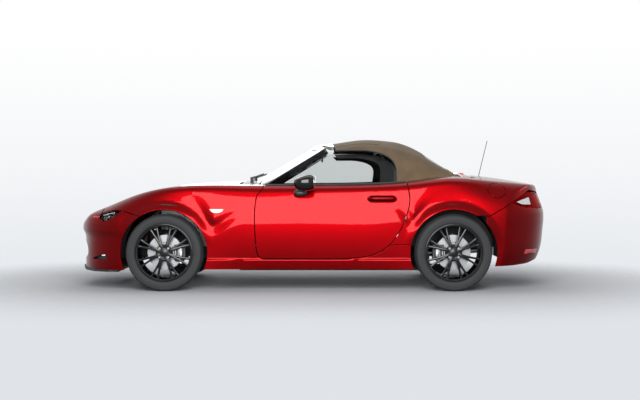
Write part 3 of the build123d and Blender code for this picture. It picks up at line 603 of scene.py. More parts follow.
def other_side(part):
    """A panel's mirror image on the left-hand side."""
    points, faces, normals = part
    flipped, flipped_normals, start = [], [], 0
    for face in faces:
        flipped.append(face[::-1])
        flipped_normals.append(normals[start:start + len(face)][::-1])
        start += len(face)
    return mirrored(points), flipped, mirrored(np.concatenate(flipped_normals))


def both_sides(part):
    """A panel and its mirror image as one."""
    return joined_panels(part, other_side(part))


def whole_loop(view, *half):
    """A loop on the skin: its right half, run from middle to middle, and that half's mirror image."""
    return loop_of(view, *half, *[mirrored(points)[::-1] for points in half[::-1]])


# ---------------------------------------------------------------- objects
def new_piece(name, points, faces, material, body, replaces=(), smooth=True, normals=None, uvs=None):
    """One finished mesh object that rides on a body and takes its finish from a slot."""
    mesh = bpy.data.meshes.new(name)
    mesh.from_pydata([tuple(p) for p in points], [], [tuple(f) for f in faces])
    mesh.update()
    mesh.polygons.foreach_set("use_smooth", [smooth] * len(mesh.polygons))
    if normals is not None:
        mesh.normals_split_custom_set([tuple(n) for n in normals])
    if uvs is not None:
        layer = mesh.uv_layers.new(name="cloth")
        layer.data.foreach_set("uv", np.asarray(uvs, dtype=float).ravel())
    piece = bpy.data.objects.new(name, mesh)
    bpy.context.scene.collection.objects.link(piece)
    return finish_piece(piece, material, body, replaces)


def finish_piece(piece, material, body, replaces=()):
    """Gives a mesh object its material, its body and the nodes that it stands for."""
    if material is not None:
        piece.data.materials.clear()
        piece.data.materials.append(material)
    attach(piece, body)
    for node_name in replaces:
        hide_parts(node_name)
    return piece


# ---------------------------------------------------------------- shut lines of the right-hand side
DOOR_SIDE = softened([(-.398, .832), (-.402, .812), (-.446, .77), (-.462, .673), (-.464, .545), (-.452, .354),
                      (-.434, .264), (.231, .262), (.421, .276), (.534, .314), (.611, .371), (.688, .473),
                      (.739, .587), (.768, .69), (.77, .77), (.754, .838)], .05)
BELT_Y = .728  # the door's inner edge, beside the glass
CABIN_SIDE = [(-.402, .694), (.6, .704), (.76, .694), (.852, .678), (1.04, .63), (1.226, .598)]
SCUTTLE_FRONT_X = -.584
BONNET_EDGE = softened([(-1.752, 0), (-1.742, .24), (-1.704, .44), (-1.64, .575), (-1.5, .612), (-1.19, .632),
                        (-.606, .642)], .08)
LAMP_TOP = [(-1.726, .586), (-1.692, .625), (-1.64, .639), (-1.593, .647), (-1.535, .648)]
LAMP_LOW = [(-1.535, .648), (-1.545, .627), (-1.583, .593), (-1.652, .559), (-1.69, .554), (-1.726, .586)]
LAMP_SEAM = [(-1.6865, .488), (-1.699, .621)]  # the bonnet's corner in plan, the headlamp's top in side view
BUMPER_CORNER_Z = .6
FRONT_BOTTOM_Z = .17
SILL_LOW_Z, SILL_TOP_Z, SILL_STEP_Z = .176, .258, .371
BOOT_EDGE = softened([(1.3, 0), (1.304, .5), (1.33, .556), (1.76, .52), (1.845, .49)], .05)
BOOT_LOW_Z = .712
DECK_SIDE_Y = .598
TAIL_LAMP = [(1.583, .705), (1.684, .673), (1.814, .661), (1.8, .7), (1.772, .752), (1.744, .806),
             (1.7165, .79)]
TAIL_LAMP_INNER = [(.62, .662), (.525, .668), (.486, .7), (.484, .772), (.6, .792)]  # rear view: y, z
REAR_SEAM = [(1.583, .705), (1.413, .604)]
REAR_BOTTOM = [(1.463, .2), (1.6, .203), (1.73, .214), (1.83, .24)]
FLAP_CENTRE, FLAP_SIZE = (1.471, .808), .07


def door_opening(distance):
    """The door's edge in side view, from its top front corner, under the door, to its top rear corner."""
    return shifted(DOOR_SIDE, -distance)


def opening_corner(z):
    """Where the door opening's rear edge reaches a height."""
    rear = [p for p in door_opening(SHUT_GAP) if p[0] > .3]
    return float(np.interp(z, [p[1] for p in rear], [p[0] for p in rear])), z


def cut_at(points, axis, limit, keep_below):
    """The part of a polyline whose x (axis 0) or z (axis 1) lies below or above a limit."""
    return [p for p in points if (p[axis] < limit) == keep_below]


def door_loop():
    """The right door's outer skin."""
    belt = trace("top", (.752, BELT_Y), (-.396, BELT_Y))
    return loop_of(WING_VIEW, trace("side", *DOOR_SIDE), belt)


def lamp_seam(shift):
    """The line between wing and bumper, from the bonnet's corner to the headlamp's top, in plan."""
    corner = trace("side", LAMP_SEAM[1])[0]
    end = (corner[0] + shift, corner[1] - .004)
    return [LAMP_SEAM[0], end] if shift > 0 else [end]


def wing_loop():
    """The right front wing, from the bumper to the door."""
    opening = door_opening(SHUT_GAP)
    front_edge = cut_at(opening, 0, -.39, True)
    front_edge = [p for p in front_edge if p[1] > SILL_TOP_Z + .004][::-1]
    arch = arch_arc(FRONT_AXLE_X, arch_angle(FRONT_AXLE_X, BUMPER_CORNER_Z, True),
                    arch_angle(FRONT_AXLE_X, SILL_TOP_Z, False))
    side_run = arch + [(front_edge[0][0], SILL_TOP_Z)] + front_edge
    inner = [CABIN_SIDE[0], (SCUTTLE_FRONT_X, .652)]
    bonnet_side = [p for p in shifted(BONNET_EDGE, SHUT_GAP) if p[0] > -1.682][::-1]
    seam = lamp_seam(.0035)
    return loop_of(WING_VIEW, trace("side", *side_run), trace("top", *inner, *bonnet_side, *seam),
                   trace("side", *LAMP_TOP[1:]), trace("side", (-1.53, .645), (arch[0][0], BUMPER_CORNER_Z)))


def bumper_front_loop():
    """The front bumper, round the nose from arch to arch."""
    arch_low = arch_angle(FRONT_AXLE_X, FRONT_BOTTOM_Z, True)
    arch_high = arch_angle(FRONT_AXLE_X, BUMPER_CORNER_Z, True)
    low_x = arch_x(FRONT_AXLE_X, FRONT_BOTTOM_Z, True)
    half = [
        trace("front", (0, FRONT_BOTTOM_Z + .008), (.5, FRONT_BOTTOM_Z + .006)),
        trace("side", (-1.8, FRONT_BOTTOM_Z + .002), (low_x, FRONT_BOTTOM_Z)),
        trace("side", *arch_arc(FRONT_AXLE_X, arch_low, arch_high)),
        trace("side", (-1.53, .642), *shifted(LAMP_LOW, -.003)[1:], (-1.71, .612)),
        trace("top", *lamp_seam(-.0035), *[p for p in shifted(BONNET_EDGE, SHUT_GAP) if p[0] < -1.69][::-1]),
    ]
    return whole_loop(NOSE_VIEW, *half)


def sill_loop():
    """The sill below the door, with the step up to the rear arch."""
    under = [p for p in door_opening(SHUT_GAP) if SILL_STEP_Z - .006 > p[1]]
    under = [p for p in under if p[0] > -.43 or p[1] < SILL_TOP_Z + .003]
    front = arch_arc(FRONT_AXLE_X, arch_angle(FRONT_AXLE_X, SILL_TOP_Z - .002, False),
                     arch_angle(FRONT_AXLE_X, SILL_LOW_Z, False))
    rear = arch_arc(REAR_AXLE_X, arch_angle(REAR_AXLE_X, SILL_LOW_Z, True),
                    arch_angle(REAR_AXLE_X, SILL_STEP_Z, True))
    top = [opening_corner(SILL_STEP_Z - .001)] + [(p[0], p[1]) for p in under if p[0] > -.43][::-1]
    return loop_of(VIEWS["side"], trace("side", *front, *rear, *top, (front[0][0], SILL_TOP_Z - .002)))


def quarter_loop():
    """The right rear quarter, from the door to the tail lamp."""
    rear_edge = [opening_corner(SILL_STEP_Z + .003)]
    rear_edge += [p for p in door_opening(SHUT_GAP) if p[0] > .5 and p[1] > SILL_STEP_Z + .008]
    arch_low = arch_angle(REAR_AXLE_X, SILL_STEP_Z + .002, True)
    arch_high = arch_angle(REAR_AXLE_X, REAR_SEAM[1][1], False)
    arch = arch_arc(REAR_AXLE_X, arch_low, arch_high)
    boot_side = [p for p in shifted(BOOT_EDGE, -SHUT_GAP) if p[1] > .49]
    inner = [(.76, .694)] + [p for p in CABIN_SIDE if p[0] > .8] + [(1.288, DECK_SIDE_Y), (1.3, DECK_SIDE_Y)]
    lamp_top = [TAIL_LAMP[5], TAIL_LAMP[6], TAIL_LAMP[0]]
    return loop_of(WING_VIEW, trace("side", *rear_edge),
                   trace("top", *inner, *[p for p in boot_side if p[0] > 1.33]),
                   trace("rear", (.488, .79), (.6, .8)), trace("side", *lamp_top, (1.413, .604)),
                   trace("side", *arch[::-1]))


def bumper_rear_loop():
    """The rear bumper, round the tail from arch to arch."""
    low_angle = arch_angle(REAR_AXLE_X, REAR_BOTTOM[0][1], False)
    high_angle = arch_angle(REAR_AXLE_X, REAR_SEAM[1][1], False)
    half = [
        trace("rear", (0, .262), (.5, .262)),
        trace("side", *REAR_BOTTOM[::-1]),
        trace("side", *arch_arc(REAR_AXLE_X, low_angle, high_angle)),
        trace("side", (1.416, .601), (1.585, .701), (1.684, .669), (1.814, .657)),
        trace("rear", *shifted(TAIL_LAMP_INNER[:3], .004), (.47, .704), (0, .704)),
    ]
    return whole_loop(TAIL_VIEW, *half)


def bonnet_loop():
    """The bonnet, both sides."""
    return whole_loop(VIEWS["top"], trace("top", *BONNET_EDGE))


def boot_loop():
    """The boot lid, from the deck over the tail's edge."""
    half = [trace("top", *BOOT_EDGE), trace("rear", (.476, .765), (.47, BOOT_LOW_Z), (0, BOOT_LOW_Z))]
    return whole_loop(LID_VIEW, *half)


def deck_loop():
    """The fixed deck between the cloth roof and the boot lid."""
    half = trace("top", (1.222, 0), (1.215, DECK_SIDE_Y - .002), (1.288, DECK_SIDE_Y - .002), (1.294, .5),
                 (1.291, 0))
    return whole_loop(VIEWS["top"], half)


def scuttle_loop():
    """The plastic panel between the bonnet and the windscreen."""
    half = trace("top", (SCUTTLE_FRONT_X, 0), (SCUTTLE_FRONT_X, .648), (-.404, .69), (-.44, .64), (-.5, 0))
    return whole_loop(VIEWS["top"], half)


def headlamp_loop():
    """The right headlamp, between wing and bumper."""
    return loop_of(WING_VIEW, trace("side", *softened(LAMP_TOP + LAMP_LOW[1:], .01)))


def tail_lamp_loop():
    """The right tail lamp, wrapped from the side to the rear face."""
    return loop_of(TAIL_VIEW, trace("side", *TAIL_LAMP[:3]), trace("rear", *TAIL_LAMP_INNER),
                   trace("side", TAIL_LAMP[6], TAIL_LAMP[0]))


# ---------------------------------------------------------------- outlines on the cloth roof
WINDOW_TOP_Z = 1.133
WINDOW_EDGE = softened([(.12, WINDOW_TOP_Z), (.447, WINDOW_TOP_Z), (.571, 1.106), (.647, 1.057), (.677, .994),
                        (.677, .846)], .05)
CLOTH_LOW = [(.677, .846), (.86, .873), (1.04, .897), (1.19, .899)]
CLOTH_SPLIT_X, CLOTH_SPLIT_Z = .556, 1.1105  # where the two cloths meet, and where that line reaches the window
CLOTH_FRONT_X, CLOTH_FRONT_BOW = .163, .09
CLOTH_EDGE_Y = .545  # half the width of the cloth's front edge
CAP_EDGE_Y = .43
ROOF_BACK_X = 1.222
HEADER_X, HEADER_BOW = .084, .247 / .49  # the rear edge's middle, and its bow with y squared
REAR_GLASS = softened([(.935, 0), (.935, .38), (.955, .405), (1.105, .425), (1.12, .4), (1.12, 0)], .03)


def header_edge(shift=0.0):
    """The header's rear edge in plan."""
    return [(HEADER_X + shift + HEADER_BOW * y * y, y) for y in np.linspace(0, CLOTH_EDGE_Y, 14)]


def roof_front_loop():
    """The cloth over the front of the cabin."""
    front = trace("roof_top", *[(CLOTH_FRONT_X + CLOTH_FRONT_BOW * y * y, y)
                                for y in np.linspace(0, CLOTH_EDGE_Y, 14)])
    start_x = front[-1][0]
    side_run = [(start_x + .006, WINDOW_TOP_Z)] + [p for p in WINDOW_EDGE if start_x
                                                   + .02 < p[0] < CLOTH_SPLIT_X - .004]
    side = trace("roof_side", *side_run, (CLOTH_SPLIT_X, CLOTH_SPLIT_Z))
    half = [front, side, trace("roof_top", (CLOTH_SPLIT_X, .45), (CLOTH_SPLIT_X, 0))]
    return whole_loop(ROOF_VIEW, *half)


def roof_rear_loop():
    """The cloth behind, down to the deck."""
    side_run = [(CLOTH_SPLIT_X, CLOTH_SPLIT_Z)] + [p for p in WINDOW_EDGE if p[0] > CLOTH_SPLIT_X
                                                   + .004] + CLOTH_LOW[1:]
    half = [trace("roof_top", (CLOTH_SPLIT_X, 0), (CLOTH_SPLIT_X, .45)), trace("roof_side", *side_run),
            trace("roof_top", (ROOF_BACK_X - .008, .56), (ROOF_BACK_X, .4), (ROOF_BACK_X, 0))]
    return whole_loop(ROOF_VIEW, *half)


def rear_glass_loop(shrink=0.0):
    """The rear window in the cloth."""
    return whole_loop(ROOF_VIEW, trace("roof_top", *shifted(REAR_GLASS, -shrink)))


GLASS_EDGE = softened([(.205, 1.096), (.38, 1.093), (.483, 1.068), (.538, 1.032), (.555, .983), (.54, .846)],
                      .05)


def window_band_loop():
    """The dark frame of the side window, between its seal and the clear part of the glass."""
    edge = shifted([(.176, WINDOW_TOP_Z)] + WINDOW_EDGE[1:], -.004)
    return loop_of(ROOF_VIEW, trace("roof_side", *edge), trace("roof_side", *GLASS_EDGE[::-1]))


def header_cap_loop():
    """The header's cover between the windscreen and the cloth."""
    front = trace("roof_top", *[p for p in header_edge(-.028) if p[1] < CAP_EDGE_Y])
    back = trace("roof_top", *[(CLOTH_FRONT_X - .004 + CLOTH_FRONT_BOW * y * y, y)
                               for y in np.linspace(0, CAP_EDGE_Y, 12)])
    return loop_of(ROOF_VIEW, front, back[::-1], mirrored(back), mirrored(front)[::-1])


# ---------------------------------------------------------------- finishes
def linear(colour, alpha=1.0):
    """A linear colour from an sRGB hex value."""
    channels = [(colour >> shift & 255) / 255 for shift in (16, 8, 0)]
    return tuple(c / 12.92 if c <= .04045 else ((c + .055) / 1.055) ** 2.4 for c in channels) + (alpha,)


def add_node(tree, kind, inputs=None, **settings):
    """One node, with its settings, and its inputs set or linked by name or number."""
    added = tree.nodes.new(kind)
    for name, value in settings.items():
        setattr(added, name, value)
    for name, value in (inputs or {}).items():
        if isinstance(value, bpy.types.NodeSocket):
            tree.links.new(value, added.inputs[name])
        else:
            added.inputs[name].default_value = value
    return added


def blank_material(name):
    """A material with its tree and its shader."""
    material = bpy.data.materials.new(name)
    material.use_nodes = True
    tree = material.node_tree
    return material, tree, tree.nodes["Principled BSDF"]


def set_inputs(shader, **values):
    """Sets a shader's inputs by name, written with underscores for spaces."""
    for name, value in values.items():
        shader.inputs[name.replace("_", " ")].default_value = value


def maths(tree, operation, first, second=0.0):
    """One sum on two values."""
    return add_node(tree, "ShaderNodeMath", {0: first, 1: second}, operation=operation).outputs[0]


def ramp(tree, factor, low, high, start=0.0, end=1.0):
    """A factor turned into a blend of two hex colours."""
    blend = add_node(tree, "ShaderNodeValToRGB", {"Fac": factor})
    blend.color_ramp.elements[0].position, blend.color_ramp.elements[0].color = start, linear(low)
    blend.color_ramp.elements[1].position, blend.color_ramp.elements[1].color = end, linear(high)
    return blend.outputs["Color"]


MM = 1000  # millimetres in a metre
WAVE_MM = 314  # the length of one wave of a wave texture whose scale is 1, in millimetres


def grained(name, colours, roughness, grain, bump=0.0, metallic=0.0, coat=0.0, coat_roughness=.03,
            rough_spread=.06, ior=1.5, detail=3.0):
    """A moulded, cast or rolled surface whose colour and roughness vary with a grain in millimetres."""
    material, tree, shader = blank_material(name)
    place = add_node(tree, "ShaderNodeTexCoord").outputs["Object"]
    noise = add_node(tree, "ShaderNodeTexNoise", {"Vector": place, "Scale": MM / grain, "Detail": detail})
    tree.links.new(ramp(tree, noise.outputs["Fac"], *colours, .3, .7), shader.inputs["Base Color"])
    spread = add_node(tree, "ShaderNodeMapRange",
                      {"Value": noise.outputs["Fac"], "To Min": roughness - rough_spread,
                                                   "To Max": roughness + rough_spread})
    tree.links.new(spread.outputs["Result"], shader.inputs["Roughness"])
    if bump:
        relief = add_node(tree, "ShaderNodeBump", {"Height": noise.outputs["Fac"], "Distance": bump})
        tree.links.new(relief.outputs["Normal"], shader.inputs["Normal"])
    set_inputs(shader, Metallic=metallic, Coat_Weight=coat, Coat_Roughness=coat_roughness)
    if not metallic:
        set_inputs(shader, IOR=ior)
    return material


def metallic_paint():
    """Candy red enamel: red metal flake under clear lacquer, deep where it turns from the light."""
    material, tree, shader = blank_material("candy red enamel")
    place = add_node(tree, "ShaderNodeTexCoord").outputs["Object"]
    flake = add_node(tree, "ShaderNodeTexVoronoi", {"Vector": place, "Scale": MM / settings().flake_size})
    light, deep = (tuple(colour) + (1,) for colour in (settings().paint_light, settings().paint_deep))
    tone = add_node(tree, "ShaderNodeMix", {0: flake.outputs["Distance"], 6: deep, 7: light}, data_type="RGBA")
    tree.links.new(tone.outputs[2], shader.inputs["Base Color"])
    tilt = add_node(tree, "ShaderNodeMapRange",
                    {"Value": flake.outputs["Distance"], "To Min": .3, "To Max": .42})
    tree.links.new(tilt.outputs["Result"], shader.inputs["Roughness"])
    set_inputs(shader, Metallic=1.0, Coat_Weight=.6, Coat_Roughness=.02, Coat_IOR=1.18)
    return material


def clear_glass(name, tint):
    """Float glass with a light tint, seen through on both faces."""
    material, tree, shader = blank_material(name)
    place = add_node(tree, "ShaderNodeTexCoord").outputs["Object"]
    noise = add_node(tree, "ShaderNodeTexNoise", {"Vector": place, "Scale": 2.0})
    tree.links.new(ramp(tree, noise.outputs["Fac"], tint, tint + 0x020202), shader.inputs["Base Color"])
    # the pane is modelled thin, so its bending of light is kept low
    set_inputs(shader, Transmission_Weight=1.0, Roughness=0.0, IOR=1.08)
    return material


def woven_cloth(name, warp, weft, thread):
    """Plain-woven acrylic hood cloth: two threads crossing, a little coarser than real so that they show."""
    material, tree, shader = blank_material(name)
    place = add_node(tree, "ShaderNodeTexCoord").outputs["Object"]
    threads = []
    for direction in ("X", "Y"):
        threads.append(add_node(tree, "ShaderNodeTexWave", {"Vector": place, "Scale": WAVE_MM / thread},
                                wave_type="BANDS", bands_direction=direction).outputs["Fac"])
    weave = maths(tree, "MULTIPLY", *threads)
    cloud = add_node(tree, "ShaderNodeTexNoise", {"Vector": place, "Scale": 9.0, "Detail": 4.0}).outputs["Fac"]
    both = maths(tree, "ADD", weave, cloud)
    tree.links.new(ramp(tree, both, warp, weft, .35, 1.1), shader.inputs["Base Color"])
    relief = add_node(tree, "ShaderNodeBump", {"Height": weave, "Strength": .35, "Distance": .0006})
    tree.links.new(relief.outputs["Normal"], shader.inputs["Normal"])
    set_inputs(shader, Roughness=.92, Sheen_Weight=.06, Specular_IOR_Level=.2, Sheen_Roughness=.5)
    return material


def ringed_metal(name, colours, roughness):
    """Turned cast iron or steel: fine rings about the wheel's axle."""
    material, tree, shader = blank_material(name)
    place = add_node(tree, "ShaderNodeTexCoord").outputs["Object"]
    split = add_node(tree, "ShaderNodeSeparateXYZ", {"Vector": place})
    away = []
    for axle_x in AXLES.values():
        dx = maths(tree, "SUBTRACT", split.outputs["X"], axle_x)
        dz = maths(tree, "SUBTRACT", split.outputs["Z"], HUB_Z)
        total = maths(tree, "ADD", *[maths(tree, "POWER", d, 2.0) for d in (dx, dz)])
        away.append(maths(tree, "SQRT", total))
    radius = maths(tree, "MINIMUM", *away)
    line = add_node(tree, "ShaderNodeCombineXYZ", {"X": radius})
    rings = add_node(tree, "ShaderNodeTexNoise", {"Vector": line.outputs[0], "Scale": 900.0, "Detail": 1.0})
    tree.links.new(ramp(tree, rings.outputs["Fac"], *colours, .35, .65), shader.inputs["Base Color"])
    set_inputs(shader, Metallic=1.0, Roughness=roughness)
    return material


def finish(name):
    """A finish by its short name, made the first time that it is asked for."""
    if name not in MADE:
        MADE[name] = FINISHES[name]()
    return MADE[name]


MADE = {}
FINISHES = {
    "paint": metallic_paint,
    "gloss black": lambda: grained("gloss black enamel", (0x060607, 0x0B0B0C), .1, 40, rough_spread=.02,
                                   ior=1.35),
    "satin black": lambda: grained("moulded black polypropylene", (0x0E0E0F, 0x17171A), .48, 1.6, bump=.0002),
    "smooth black": lambda: grained("polished black ABS", (0x08080A, 0x0E0E10), .2, 20, coat=.6,
                                    rough_spread=.03),
    "rubber": lambda: grained("extruded EPDM rubber", (0x0C0C0C, 0x161616), .7, 3, bump=.0001),
    "tyre": lambda: grained("tyre rubber", (0x101113, 0x191A1C), .78, 2.5, bump=.0002),
    "alloy": lambda: grained("black-lacquered cast alloy", (0x030304, 0x060607), .22, 12, rough_spread=.03,
                             ior=1.38),
    "chrome": lambda: grained("chromed steel", (0xC4C6C8, 0xD2D4D6), .1, 6, metallic=1.0, rough_spread=.03),
    "caliper": lambda: grained("cast aluminium", (0x77797B, 0x939597), .45, 2, bump=.0003, metallic=1.0),
    "axle": lambda: grained("black-painted forged steel", (0x17181A, 0x242527), .6, 3, bump=.0002),
    "disc": lambda: ringed_metal("turned cast iron", (0x66686A, 0x888A8C), .36),
    "zinc": lambda: grained("zinc-plated steel", (0x6E7073, 0x8A8C90), .45, 5, metallic=1.0),
    "exhaust": lambda: grained("stainless steel tube", (0x9A9A98, 0xB2B1AE), .3, 8, metallic=1.0),
    "underseal": lambda: grained("sprayed underseal", (0x101010, 0x1B1B1B), .85, 4, bump=.0008),
    "cabin": lambda: grained("grained black cabin plastic", (0x111113, 0x1C1C1F), .55, 1.2, bump=.0003),
    "leather": lambda: grained("pressed black leather", (0x0F0F10, 0x1B1A1A), .5, 1.8, bump=.0005, coat=.15,
                               coat_roughness=.35),
    "carpet": lambda: grained("tufted carpet", (0x0D0D0E, 0x1E1E20), .95, 2.2, bump=.001),
    "lining": lambda: grained("knitted lining", (0x151414, 0x211F1E), .95, 1.5, bump=.0004),
    "cloth": lambda: woven_cloth("woven acrylic hood cloth", 0x443829, 0x60503C, 4.5),
    "thread": lambda: grained("spun polyester thread", (0x3E342A, 0x54483B), .8, .8),
    "screen": lambda: clear_glass("laminated screen glass", 0xEFF4F2),
    "side glass": lambda: clear_glass("tempered side glass", 0xE3E5E4),
    "rear glass": lambda: clear_glass("tinted rear glass", 0xAEB4B2),
    "clear lens": lambda: clear_glass("clear polycarbonate", 0xF4F6F6),
    "red lens": lambda: clear_glass("red acrylic lens", 0xC4000C),
    "mirror": lambda: grained("silvered mirror glass", (0xD8DADC, 0xE0E2E4), .03, 50, metallic=1.0,
                              rough_spread=.01),
    "lamp silver": lambda: grained("vacuum-metallised reflector", (0xC8CACC, 0xDADCDE), .12, 12, metallic=1.0),
    "frosted lens": lambda: grained("frosted acrylic lens", (0x9DA0A2, 0xB4B6B8), .3, 6, coat=.5),
    "lamp white": lambda: grained("frosted light guide", (0xE4E6E8, 0xF4F6F8), .35, 6),
    "red reflector": lambda: grained("prismatic red reflector", (0x9C0A10, 0xC8141A), .2, 4, bump=.0004,
                                     coat=1.0),
}


# ---------------------------------------------------------------- repeats made by nodes
def node_tree(name, sockets):
    """A new Geometry Nodes tree with its named inputs and one geometry output."""
    tree = bpy.data.node_groups.new(name, "GeometryNodeTree")
    for socket_name, kind in sockets:
        tree.interface.new_socket(name=socket_name, in_out="INPUT", socket_type="NodeSocket" + kind)
    tree.interface.new_socket(name="Geometry", in_out="OUTPUT", socket_type="NodeSocketGeometry")
    return tree, add_node(tree, "NodeGroupInput").outputs


def close_tree(tree, instances, material):
    """Ends a tree: real geometry with its material."""
    real = add_node(tree, "GeometryNodeRealizeInstances", {"Geometry": instances})
    done = add_node(tree, "GeometryNodeSetMaterial", {"Geometry": real.outputs[0], "Material": material})
    add_node(tree, "NodeGroupOutput", {"Geometry": done.outputs[0]})
    return tree


def repeat_tree():
    """Copies of a piece, each moved on by a step and turned on about the centre."""
    tree, given = node_tree("repeat about a centre",
                            (("Geometry", "Geometry"), ("Count", "Int"), ("Centre", "Vector"),
                                                      ("Step", "Vector"), ("Turn", "Vector"),
                                                      ("Material", "Material")))
    index = add_node(tree, "GeometryNodeInputIndex").outputs[0]
    moved = add_node(tree, "ShaderNodeVectorMath", {0: given["Step"], "Scale": index},
                     operation="SCALE").outputs[0]
    place = add_node(tree, "ShaderNodeVectorMath", {0: given["Centre"], 1: moved}, operation="ADD").outputs[0]
    turned = add_node(tree, "ShaderNodeVectorMath", {0: given["Turn"], "Scale": index},
                      operation="SCALE").outputs[0]
    points = add_node(tree, "GeometryNodePoints", {"Count": given["Count"], "Position": place}).outputs[0]
    rotation = add_node(tree, "FunctionNodeEulerToRotation", {0: turned}).outputs[0]
    copies = add_node(tree, "GeometryNodeInstanceOnPoints", {"Points": points, "Instance": given["Geometry"],
                                                             "Rotation": rotation}).outputs[0]
    return close_tree(tree, copies, given["Material"])


def stitch_tree():
    """Stitches laid end to end along a line."""
    tree, given = node_tree("stitches along a seam",
                            (("Geometry", "Geometry"), ("Pitch", "Float"), ("Stitch", "Float"),
                                                      ("Thread", "Float"), ("Material", "Material")))
    line = add_node(tree, "GeometryNodeMeshToCurve", {"Mesh": given["Geometry"]}).outputs[0]
    spaced = add_node(tree, "GeometryNodeResampleCurve", {"Curve": line, "Length": given["Pitch"]},
                      mode="LENGTH").outputs[0]
    stitch = add_node(tree, "GeometryNodeMeshCylinder", {"Vertices": 6, "Radius": given["Thread"],
                                                         "Depth": given["Stitch"]}).outputs["Mesh"]
    along = add_node(tree, "FunctionNodeAlignRotationToVector", {
        "Vector": add_node(tree, "GeometryNodeInputTangent").outputs[0]}, axis="Z").outputs[0]
    copies = add_node(tree, "GeometryNodeInstanceOnPoints", {"Points": spaced, "Instance": stitch,
                                                             "Rotation": along}).outputs[0]
    return close_tree(tree, copies, given["Material"])


def grown(name, points, faces, tree, values, edges=()):
    """A mesh run through a tree of nodes and kept as a plain mesh object."""
    mesh = bpy.data.meshes.new(name)
    mesh.from_pydata([tuple(p) for p in points], list(edges), [tuple(f) for f in faces])
    piece = bpy.data.objects.new(name, mesh)
    bpy.context.scene.collection.objects.link(piece)
    modifier = piece.modifiers.new("nodes", "NODES")
    modifier.node_group = tree
    sockets = {item.name: item.identifier for item in tree.interface.items_tree if item.in_out == "INPUT"}
    for socket_name, value in values.items():
        modifier[sockets[socket_name]] = value
    graph = bpy.context.evaluated_depsgraph_get()
    plain = bpy.data.meshes.new_from_object(piece.evaluated_get(graph))
    piece.modifiers.clear()
    piece.data = plain
    plain.polygons.foreach_set("use_smooth", [True] * len(plain.polygons))
    plain.set_sharp_from_angle(angle=radians(35))
    return piece


# ---------------------------------------------------------------- plain shapes
def ring_shell(rings, closed_ends=True):
    """A closed shell through rings of points of equal count; the ends are capped."""
    points = np.concatenate(rings)
    count = len(rings[0])
    faces = []
    for k in range(len(rings) - 1):
        for i in range(count):
            j = (i + 1) % count
            faces.append([k * count + i, k * count + j, (k + 1) * count + j, (k + 1) * count + i])
    if closed_ends:
        faces.append(list(range(count))[::-1])
        faces.append([(len(rings) - 1) * count + i for i in range(count)])
    return points, faces


def turned_shell(profile, segments=96, centre=(0, 0, 0), side=1, sunk=None):
    """A closed profile (outboard distance, radius) turned about a wheel's axle."""
    profile = np.array(profile, dtype=float)
    rings = []
    for k in range(segments):
        angle = 2 * pi * k / segments
        radius = profile[:, 1] - (sunk(k) if sunk else 0)
        rings.append(np.stack((centre[0] + radius * cos(angle), centre[1] + side * profile[:, 0],
                               centre[2] + radius * sin(angle)), axis=1))
    points = np.concatenate(rings)
    count = len(profile)
    faces = []
    for k in range(segments):
        after = (k + 1) % segments
        for i in range(count):
            j = (i + 1) % count
            faces.append([k * count + i, k * count + j, after * count + j, after * count + i])
    return points, faces


def tube(path, radius, sides=12):
    """A round bar along a path of points; radius is one number or one for each point."""
    path = np.array(path, dtype=float)
    radii = np.broadcast_to(radius, len(path))
    along = np.gradient(path, axis=0)
    along /= np.linalg.norm(along, axis=1, keepdims=True)
    across = np.cross(along[0], (0, 0, 1) if abs(along[0][2]) < .9 else (1, 0, 0))
    rings = []
    for point, direction, size in zip(path, along, radii):
        across = across - direction * (across @ direction)
        across /= np.linalg.norm(across)
        other = np.cross(direction, across)
        rings.append([point + size * (across * cos(a) + other * sin(a))
                      for a in np.linspace(0, 2 * pi, sides, endpoint=False)])
    return ring_shell([np.array(ring) for ring in rings])


def blob(centre, radii, squareness=2.4, rows=24, columns=40, shape=None):
    """A closed rounded form; squareness 2 is an ellipsoid and more is boxier. shape moves its points."""
    rings = []
    for v in np.linspace(.02, pi - .02, rows):
        u = np.linspace(0, 2 * pi, columns, endpoint=False)
        unit = np.stack((np.sin(v) * np.cos(u), np.sin(v) * np.sin(u), np.full(columns, np.cos(v))), axis=1)
        size = (np.abs(unit) ** squareness).sum(axis=1, keepdims=True) ** (-1 / squareness)
        rings.append(unit * size)
    points, faces = ring_shell(rings[::-1])
    if shape is not None:
        points = shape(points)
    return points * np.array(radii) + np.array(centre), faces


def turn_outward(piece, weld=False):
    """Turns every face of a piece outwards, after its doubled points are made one if weld is set."""
    work = bmesh.new()
    work.from_mesh(piece.data)
    if weld:
        bmesh.ops.remove_doubles(work, verts=work.verts, dist=1e-6)
    bmesh.ops.recalc_face_normals(work, faces=work.faces)
    work.to_mesh(piece.data)
    work.free()


def outward_piece(name, shape, finish_name, body, replaces=(), angle=35):
    """A piece whose faces are turned outwards and shaded smooth up to an angle."""
    points, faces = shape
    piece = new_piece(name, points, faces, finish(finish_name), body, replaces)
    turn_outward(piece, weld=True)
    piece.data.set_sharp_from_angle(angle=radians(angle))
    return piece


def merged(*shapes):
    """Several shapes as one set of points and faces."""
    points, faces, shift = [], [], 0
    for shape_points, shape_faces in shapes:
        points.append(np.asarray(shape_points))
        faces += [[i + shift for i in face] for face in shape_faces]
        shift += len(shape_points)
    return np.concatenate(points), faces


def reflected(shape):
    """A shape on the car's other side."""
    points, faces = shape
    return mirrored(np.asarray(points)), [face[::-1] for face in faces]


def doubled(shape):
    """A shape and its mirror image as one."""
    return merged(shape, reflected(shape))


def panel_piece(name, part, finish_name, body, replaces=()):
    """A skin panel as a finished piece."""
    points, faces, normals = part
    return new_piece(name, points, faces, finish(finish_name), body, replaces, normals=normals)


def refinish(nodes, finish_name):
    """Gives CAD nodes that keep their shape their finish."""
    for node_name in nodes:
        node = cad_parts[node_name]
        node.data.materials.clear()
        node.data.materials.append(finish(finish_name))


